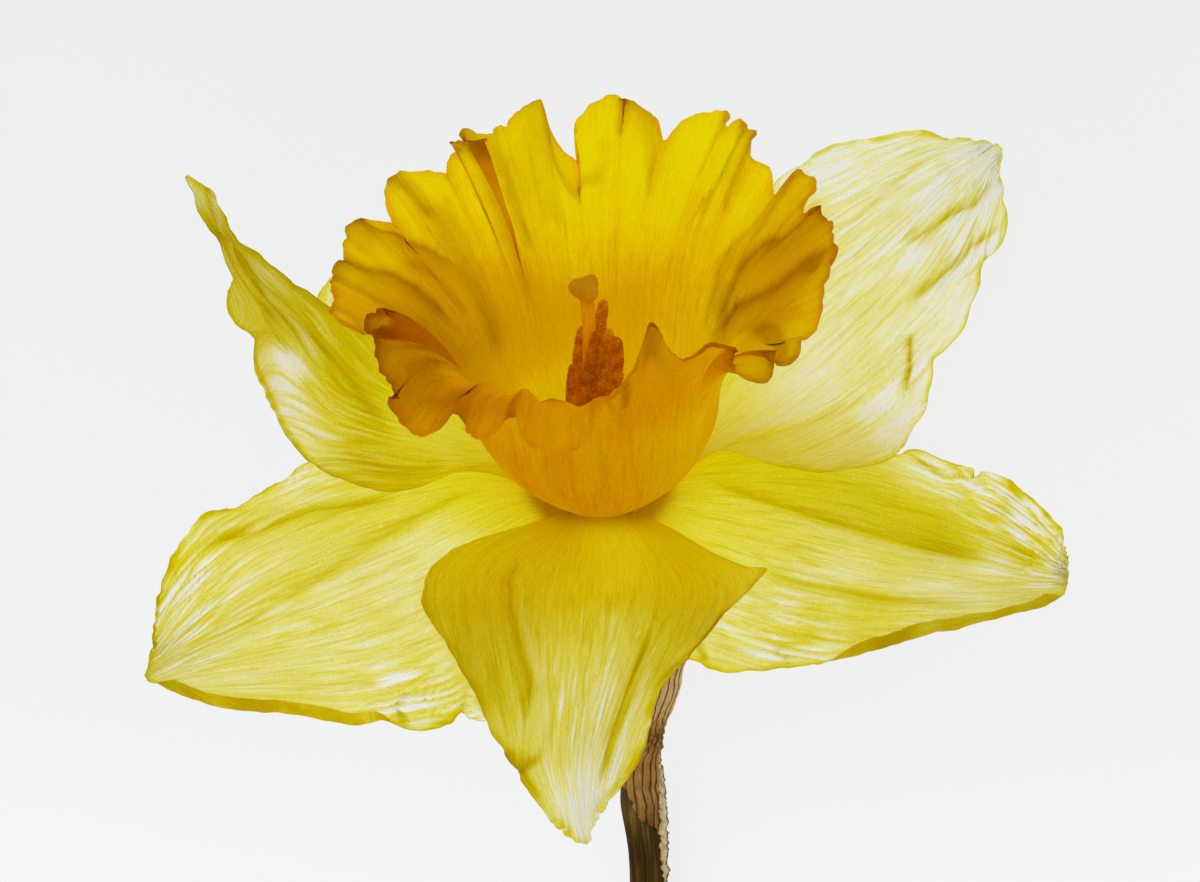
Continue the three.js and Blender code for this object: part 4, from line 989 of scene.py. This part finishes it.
# ---- style and stigma ------------------------------------------------------------------------------------
# The style is a slender stalk that stands on the seed case, runs up the tube and leans a little to one side.
# The stigma at its top is a small three-lobed cap, moist and slightly wider than it is high.

STYLE = [(0.45, -20.3), (0.6, -19), (0.65, 0), (0.66, 14), (0.66, 21.6), (0.72, 22.6), (0.9, 23.1),
         (1.25, 23.5), (1.4, 23.9), (1.3, 24.4), (0.85, 24.8), (0.3, 24.85)]


def style_shape():
    bm = turned("style", STYLE, 48, 150,
                lambda turn, z: 1 + (-0.22 * math.cos(3 * turn) if z > 22.8 else 0.04 * math.cos(3 * turn)))
    for v in bm.verts:
        height = max(0, v.co.z)
        lean = 1.07 * math.sin(min(height, 16) / 16 * math.pi / 2) + 0.06 * max(0, height - 19)
        crumple = 0.09 * noise.noise(v.co * 1.5) if v.co.z > 22 else 0.03 * noise.noise(v.co * 0.9)
        v.co += Vector((crumple - lean, crumple, crumple * 2))
    return seat("style", bm)


def style_finish():
    material, tree, shader = new_material("style_ochre", 0.4)
    mottle = grown(tree, (1.2, 1.2, 0.4), 3.0)
    colour = ramp_of(tree, mottle, [(0.3, (0.92, 0.54, 0.0)), (0.7, (1.0, 0.7, 0.0))])
    place = node_of(tree, "TexCoord").outputs["Object"]
    level = node_of(tree, "SeparateXYZ", {"Vector": place}).outputs["Y"]
    cap = node_of(tree, "MapRange", {"Value": level, "From Min": 0.039, "From Max": 0.0405, "To Max": 0.55})
    colour = shaded(tree, colour, cap.outputs["Result"], (0.6, 0.3, 0.0))
    tree.links.new(colour, shader.inputs["Base Color"])
    bump_of(tree, shader, mottle, 0.0001)
    let_light_through(tree, shader, colour, 0.6)
    return material


style_skin = style_finish()
style = style_shape()
style.data.materials.append(style_skin)
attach(style, "root")
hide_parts("style_and_stigma")

# ---- stamens ---------------------------------------------------------------------------------------------
# Six stamens stand round the style: a thread, rooted in the tube's wall, that carries a long anther.
# The anthers have split along their sides and are coated with rusty pollen grains.

STAMENS = [                        # angle of the root; the anther's foot, middle and top; its radius
    (30, (-0.3, 0.9, 13.2), (0.0, 0.9, 18.4), (0.42, 0.85, 21.9), 0.52),
    (90, (0.9, 0.8, 9.8), (1.45, 0.7, 14.2), (1.3, 0.8, 17.4), 0.75),
    (150, (-2.3, 0.9, 9.8), (-2.1, 0.8, 14.5), (-1.75, 0.8, 18.7), 0.5),
    (210, (-2.6, -0.9, 8.2), (-2.65, -0.8, 12.2), (-2.4, -0.8, 15.4), 0.58),
    (270, (-1.6, -1.6, 10.4), (-0.8, -1.1, 15.3), (-0.25, -0.7, 19.3), 0.6),
    (330, (-0.4, -1.6, 10.2), (0.15, -1.3, 15.5), (1.0, -0.8, 19.6), 0.6),
]


def filament_route(angle, foot):
    def place(distance, height):
        return (distance * math.cos(math.radians(angle)), distance * math.sin(math.radians(angle)), height)
    halfway = (Vector(place(2.2, foot[2] - 3)) + Vector(foot) - Vector((0, 0, 3))) / 2
    halfway.z = foot[2] - 3
    return [(*place(2.6, -8.7), 0.25), (*place(3.1, -6), 0.3), (*place(2.85, -1), 0.3), (*halfway, 0.3),
            (foot[0], foot[1], foot[2] + 0.6, 0.2)]


def anther_route(foot, middle, top, radius):
    """A curve through the three places, thick in the middle and blunt at both ends."""
    route = []
    for t, swell in ((0, 0.45), (0.06, 0.8), (0.2, 1.05), (0.5, 1), (0.82, 0.88), (0.94, 0.66), (1, 0.2)):
        spot = (Vector(foot) * (2 * t - 1) * (t - 1) + Vector(middle) * 4 * t * (1 - t)
                + Vector(top) * t * (2 * t - 1))
        route.append((*spot, radius * swell))
    return route


def pollen_finish():
    material, tree, shader = new_material("pollen_rust", 0.9)
    place = node_of(tree, "TexCoord").outputs["Object"]
    grains = node_of(tree, "TexVoronoi", {"Vector": place, "Scale": 6500.0}).outputs["Distance"]
    patches = node_of(tree, "TexNoise", {"Vector": place, "Scale": 900.0, "Detail": 3.0}).outputs["Fac"]
    mixed = node_of(tree, "Math", {0: grains, 1: 0.6, 2: patches}, operation="MULTIPLY_ADD").outputs[0]
    colour = ramp_of(tree, mixed, [(0.4, (1.0, 0.84, 0.06)), (0.65, (1.0, 0.66, 0.02)),
                                   (1.0, (0.72, 0.3, 0.0))])
    tree.links.new(colour, shader.inputs["Base Color"])
    bump_of(tree, shader, grains, 0.0001)
    let_light_through(tree, shader, colour, 0.84)
    return material


pollen_skin = pollen_finish()
for number, (angle, foot, middle, top, radius) in enumerate(STAMENS, 1):
    def grainy(turn, along, shift=number * 5.0):
        """Two pollen sacs side by side, with a groove between them and a coat of grains."""
        groove = 0.16 * math.cos(2 * turn)
        coat = noise.noise(Vector((math.cos(turn) * 4, math.sin(turn) * 4, along * 5 + shift)))
        lumps = noise.noise(Vector((math.cos(turn) * 1.2, math.sin(turn) * 1.2, along * 0.8 + shift)))
        return 1 + groove + 0.26 * coat + 0.22 * lumps

    thread = rod_of(f"thread_{number}", filament_route(angle, foot), 12, 40, HEAD, lambda turn, along: 1)
    thread.data.materials.append(style_skin)
    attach(thread, "root")
    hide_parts(f"filament_{number}")
    sacs = rod_of(f"pollen_sacs_{number}", anther_route(foot, middle, top, radius), 40, 110, HEAD, grainy)
    sacs.data.materials.append(pollen_skin)
    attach(sacs, "root")
    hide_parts(f"anther_{number}")

# ---- papery sheath ---------------------------------------------------------------------------------------
# The spathe wrapped the bud. It is now a dry, tan, torn strip of papery tissue with dark parallel veins.
# It grows from the top of the stalk, wraps it and the nodding stem, and twists away to one side.

SHEATH = [                         # x, y, z of the axis it wraps, radius, half sweep and facing in degrees
    (-5.5, -37.6, 3.3, 2.1, 17, 94), (-5.5, -37.1, 3.45, 2.1, 25, 86), (-5.5, -36.5, 3.6, 2.1, 40, 72),
    (-5.5, -35.6, 3.85, 2.1, 52, 60), (-5.5, -34.2, 4.25, 2.15, 58, 56), (-5.5, -33, 4.7, 2.15, 64, 50),
    (-5.4, -32.2, 5.1, 2.15, 74, 40), (-5.2, -31.2, 5.6, 2.15, 98, 18), (-4.8, -29.8, 6.4, 2.05, 108, 20),
    (-3.6, -28.3, 7.2, 1.5, 112, 30), (-2.7, -26.8, 7.9, 1.15, 114, 40), (-2.2, -25.4, 8.5, 1.25, 112, 40),
    (-1.6, -24.1, 8.9, 1.45, 110, 35), (-0.8, -22, 9.3, 1.6, 108, 35), (-0.1, -19.9, 9.8, 1.5, 102, 30),
    (1.6, -16, 10.5, 1.3, 92, 20), (4.2, -12.4, 11.2, 0.6, 80, 20),
]
TORN_STRIP = [                     # x, y, z, half width
    (-3.1, -27.6, 6.6, 0.1), (-2.95, -28.6, 6.2, 0.35), (-2.95, -31.2, 5.0, 0.48), (-3.0, -34, 4.3, 0.52),
    (-3.05, -37.5, 3.6, 0.52), (-3.25, -41, 3.0, 0.46), (-3.3, -44, 2.7, 0.42), (-3.4, -49, 2.4, 0.3),
    (-3.6, -53, 2.2, 0.08),
]


def sheath_shape(rows=230, columns=72):
    line = smooth_line(SHEATH, rows + 1)
    t = np.linspace(-1, 1, columns + 1)
    points = np.zeros((rows + 1, columns + 1, 3))
    lane = np.zeros((rows + 1, columns + 1))
    for i, (x, y, z, radius, sweep, facing) in enumerate(line):
        turn = np.radians(facing - sweep * t)
        lane[i] = turn * 2.1
        r = radius * (1 + 0.03 * np.cos(turn * 12))
        points[i] = np.stack([x + r * np.sin(turn), np.full(columns + 1, y), z + r * np.cos(turn)], -1)
    s = np.linspace(0, 1, rows + 1)[:, None] * np.ones((1, columns + 1))
    across = t[None] * np.ones((rows + 1, 1))
    pinch = np.exp(-(((s - 0.42) / 0.07) ** 2))
    crinkle = ((0.1 + 0.3 * pinch) * noise_field(lane * 1.2, s * 48, 21)
               + 0.14 * noise_field(lane * 0.8, s * 14, 22))
    ragged = 0.3 * noise_field(s * 45, np.sign(across), 23) + 0.2 * noise_field(s * 110, np.sign(across), 24)
    normal = normals_of(points)
    tangent = np.gradient(points, axis=1)
    tangent /= np.maximum(np.linalg.norm(tangent, axis=-1, keepdims=True), 1e-9)
    fringe = ragged * np.abs(across) ** 8 * np.sign(across)
    points = points + normal * crinkle[..., None] + tangent * fringe[..., None]
    light = 0.6 * smoothstep(0.44, 0.56, s) - 0.1 * pinch - 0.25 * smoothstep(0.12, 0.02, s)
    grow = np.stack([lane, np.zeros_like(s), s * 34], -1)
    return sheet_of("papery_sheath", points, GROUND, {"grow": grow, "tone": light}, thickness=0.22)


def torn_strip_shape(rows=260, columns=8):
    """The strip that tore off along the right side of the stalk: a narrow, crumpled, bleached ribbon."""
    line = smooth_line(TORN_STRIP, rows + 1)
    t = np.linspace(-1, 1, columns + 1)
    s = np.linspace(0, 1, rows + 1)[:, None] * np.ones((1, columns + 1))
    across = t[None] * np.ones((rows + 1, 1))
    half = line[:, 3:4] * (0.85 + 0.6 * noise_field(s * 24, np.sign(across), 31)
                           + 0.3 * noise_field(s * 70, across, 36))
    points = np.stack([line[:, 0:1] + half * across * 0.9, line[:, 1:2] + 0 * across,
                       line[:, 2:3] - half * across * 0.5], -1)
    points[..., 2] += (0.25 * noise_field(across * 1.5, s * 55, 32)
                       + 0.2 * noise_field(across * 2.5, s * 140, 33))
    points[..., 0] += 0.22 * noise_field(across, s * 40, 34)
    grow = np.stack([across * 0.4 + 6, np.zeros_like(s), s * 26], -1)
    # One side of the strip is darker, a painted shadow along that edge.
    light = 1.0 + 0.6 * noise_field(across, s * 40, 35) - 0.5 * smoothstep(0.0, -1.0, across)
    return sheet_of("torn_strip", points, GROUND, {"grow": grow, "tone": light}, thickness=0.15)


def sheath_finish():
    material, tree, shader = new_material("sheath_paper", 0.8)
    place = node_of(tree, "Attribute", attribute_name="grow").outputs["Vector"]
    wander = grown(tree, (0.8, 1.0, 0.45), 3.0)
    side = node_of(tree, "SeparateXYZ", {"Vector": place}).outputs["X"]
    lane = node_of(tree, "Math", {0: wander, 1: 0.5, 2: side}, operation="MULTIPLY_ADD").outputs[0]
    lane = node_of(tree, "Math", {0: lane, 1: 0.63}, operation="SUBTRACT").outputs[0]
    wave = node_of(tree, "Math", {0: lane, 1: 0.43}, operation="PINGPONG").outputs[0]
    vein = node_of(tree, "MapRange", {"Value": wave, "From Min": 0.03, "From Max": 0.12, "To Min": 0.85,
                                      "To Max": 0.0}).outputs["Result"]
    fibres = grown(tree, (4.0, 1.0, 0.35), 4.0, 0.7)
    patches = grown(tree, (0.9, 1.0, 0.5), 3.0)
    mixed = sum_of(tree, attribute_of(tree, "tone"), (fibres, 1.0), (patches, 0.6))
    paper = ramp_of(tree, node_of(tree, "Math", {0: mixed, 1: 0.5}, operation="MULTIPLY").outputs[0],
                    [(0.2, (0.18, 0.085, 0.01)), (0.42, (0.66, 0.34, 0.085)), (0.65, (0.98, 0.66, 0.27)),
                     (1.0, (1.0, 0.94, 0.68))])
    colour = shaded(tree, paper, vein, (0.1, 0.022, 0.003))
    tree.links.new(colour, shader.inputs["Base Color"])
    height = node_of(tree, "Math", {0: vein, 1: -0.6, 2: fibres}, operation="MULTIPLY_ADD").outputs[0]
    bump_of(tree, shader, height, 0.0004)
    let_light_through(tree, shader, colour, 0.35)
    return material


sheath_skin = sheath_finish()
for piece in (sheath_shape(), torn_strip_shape()):
    piece.data.materials.append(sheath_skin)
    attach(piece, "root")
    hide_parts("spathe")

# ---- surface, light and camera ---------------------------------------------------------------------------
# The flower lies on a glowing, pale table top that fills the view, under a white sky and two wide lamps.
# The camera looks straight at the head, from above and a little to one side.

FLOOR_GLOW = 0.78
SKY = 0.85


def floor_finish():
    material, tree, shader = new_material("pale_table", 0.9)
    shader.inputs["Base Color"].default_value = (0.12, 0.121, 0.122, 1)
    place = node_of(tree, "TexCoord").outputs["Object"]
    across = node_of(tree, "SeparateXYZ", {"Vector": place}).outputs["Y"]
    # The table's glow is brighter towards one side.
    near = node_of(tree, "MapRange",
                   {"Value": across, "From Min": 0.08, "From Max": -0.06}).outputs["Result"]
    glow = ramp_of(tree, near, [(0.0, (0.94, 0.96, 0.965)), (0.6, (1.0, 1.015, 1.02)),
                                (1.0, (1.08, 1.1, 1.13))])
    tree.links.new(glow, shader.inputs["Emission Color"])
    shader.inputs["Emission Strength"].default_value = FLOOR_GLOW
    return material


floor_mesh = bmesh.new()
bmesh.ops.create_circle(floor_mesh, cap_ends=True, segments=96, radius=4)
floor = finish_mesh("table_top", floor_mesh)
floor.data.materials.append(floor_finish())

sky = bpy.data.worlds.new("sky")
sky.use_nodes = True
sky.node_tree.nodes["Background"].inputs["Color"].default_value = (0.98, 0.99, 1, 1)
sky.node_tree.nodes["Background"].inputs["Strength"].default_value = SKY
bpy.context.scene.world = sky


def lamp(name, place, size, power):
    light = bpy.data.lights.new(name, "AREA")
    light.size = size
    light.energy = power
    holder = bpy.data.objects.new(name, light)
    bpy.context.scene.collection.objects.link(holder)
    holder.location = place
    holder.rotation_euler = (Vector(place) - MEETING).to_track_quat("Z", "Y").to_euler()


lamp("lamp_upper_right", (0.5, 0.4, 0.6), 0.4, 0.3)
lamp("lamp_left", (-0.7, 0.2, 0.5), 0.5, 0.2)

DISTANCE = 400 * MM
eye = MEETING + Matrix.Rotation(ROLL, 3, "Y") @ Vector((0, 3.9 * MM, DISTANCE))
camera = bpy.data.objects.new("camera", bpy.data.cameras.new("camera"))
camera.matrix_world = Matrix.Translation(eye) @ Matrix.Rotation(ROLL, 4, "Y")
camera.data.lens = 120
camera.data.sensor_width = 36
camera.data.clip_start = 0.01
bpy.context.scene.collection.objects.link(camera)
bpy.context.scene.camera = camera
bpy.context.scene.view_settings.view_transform = "Standard"
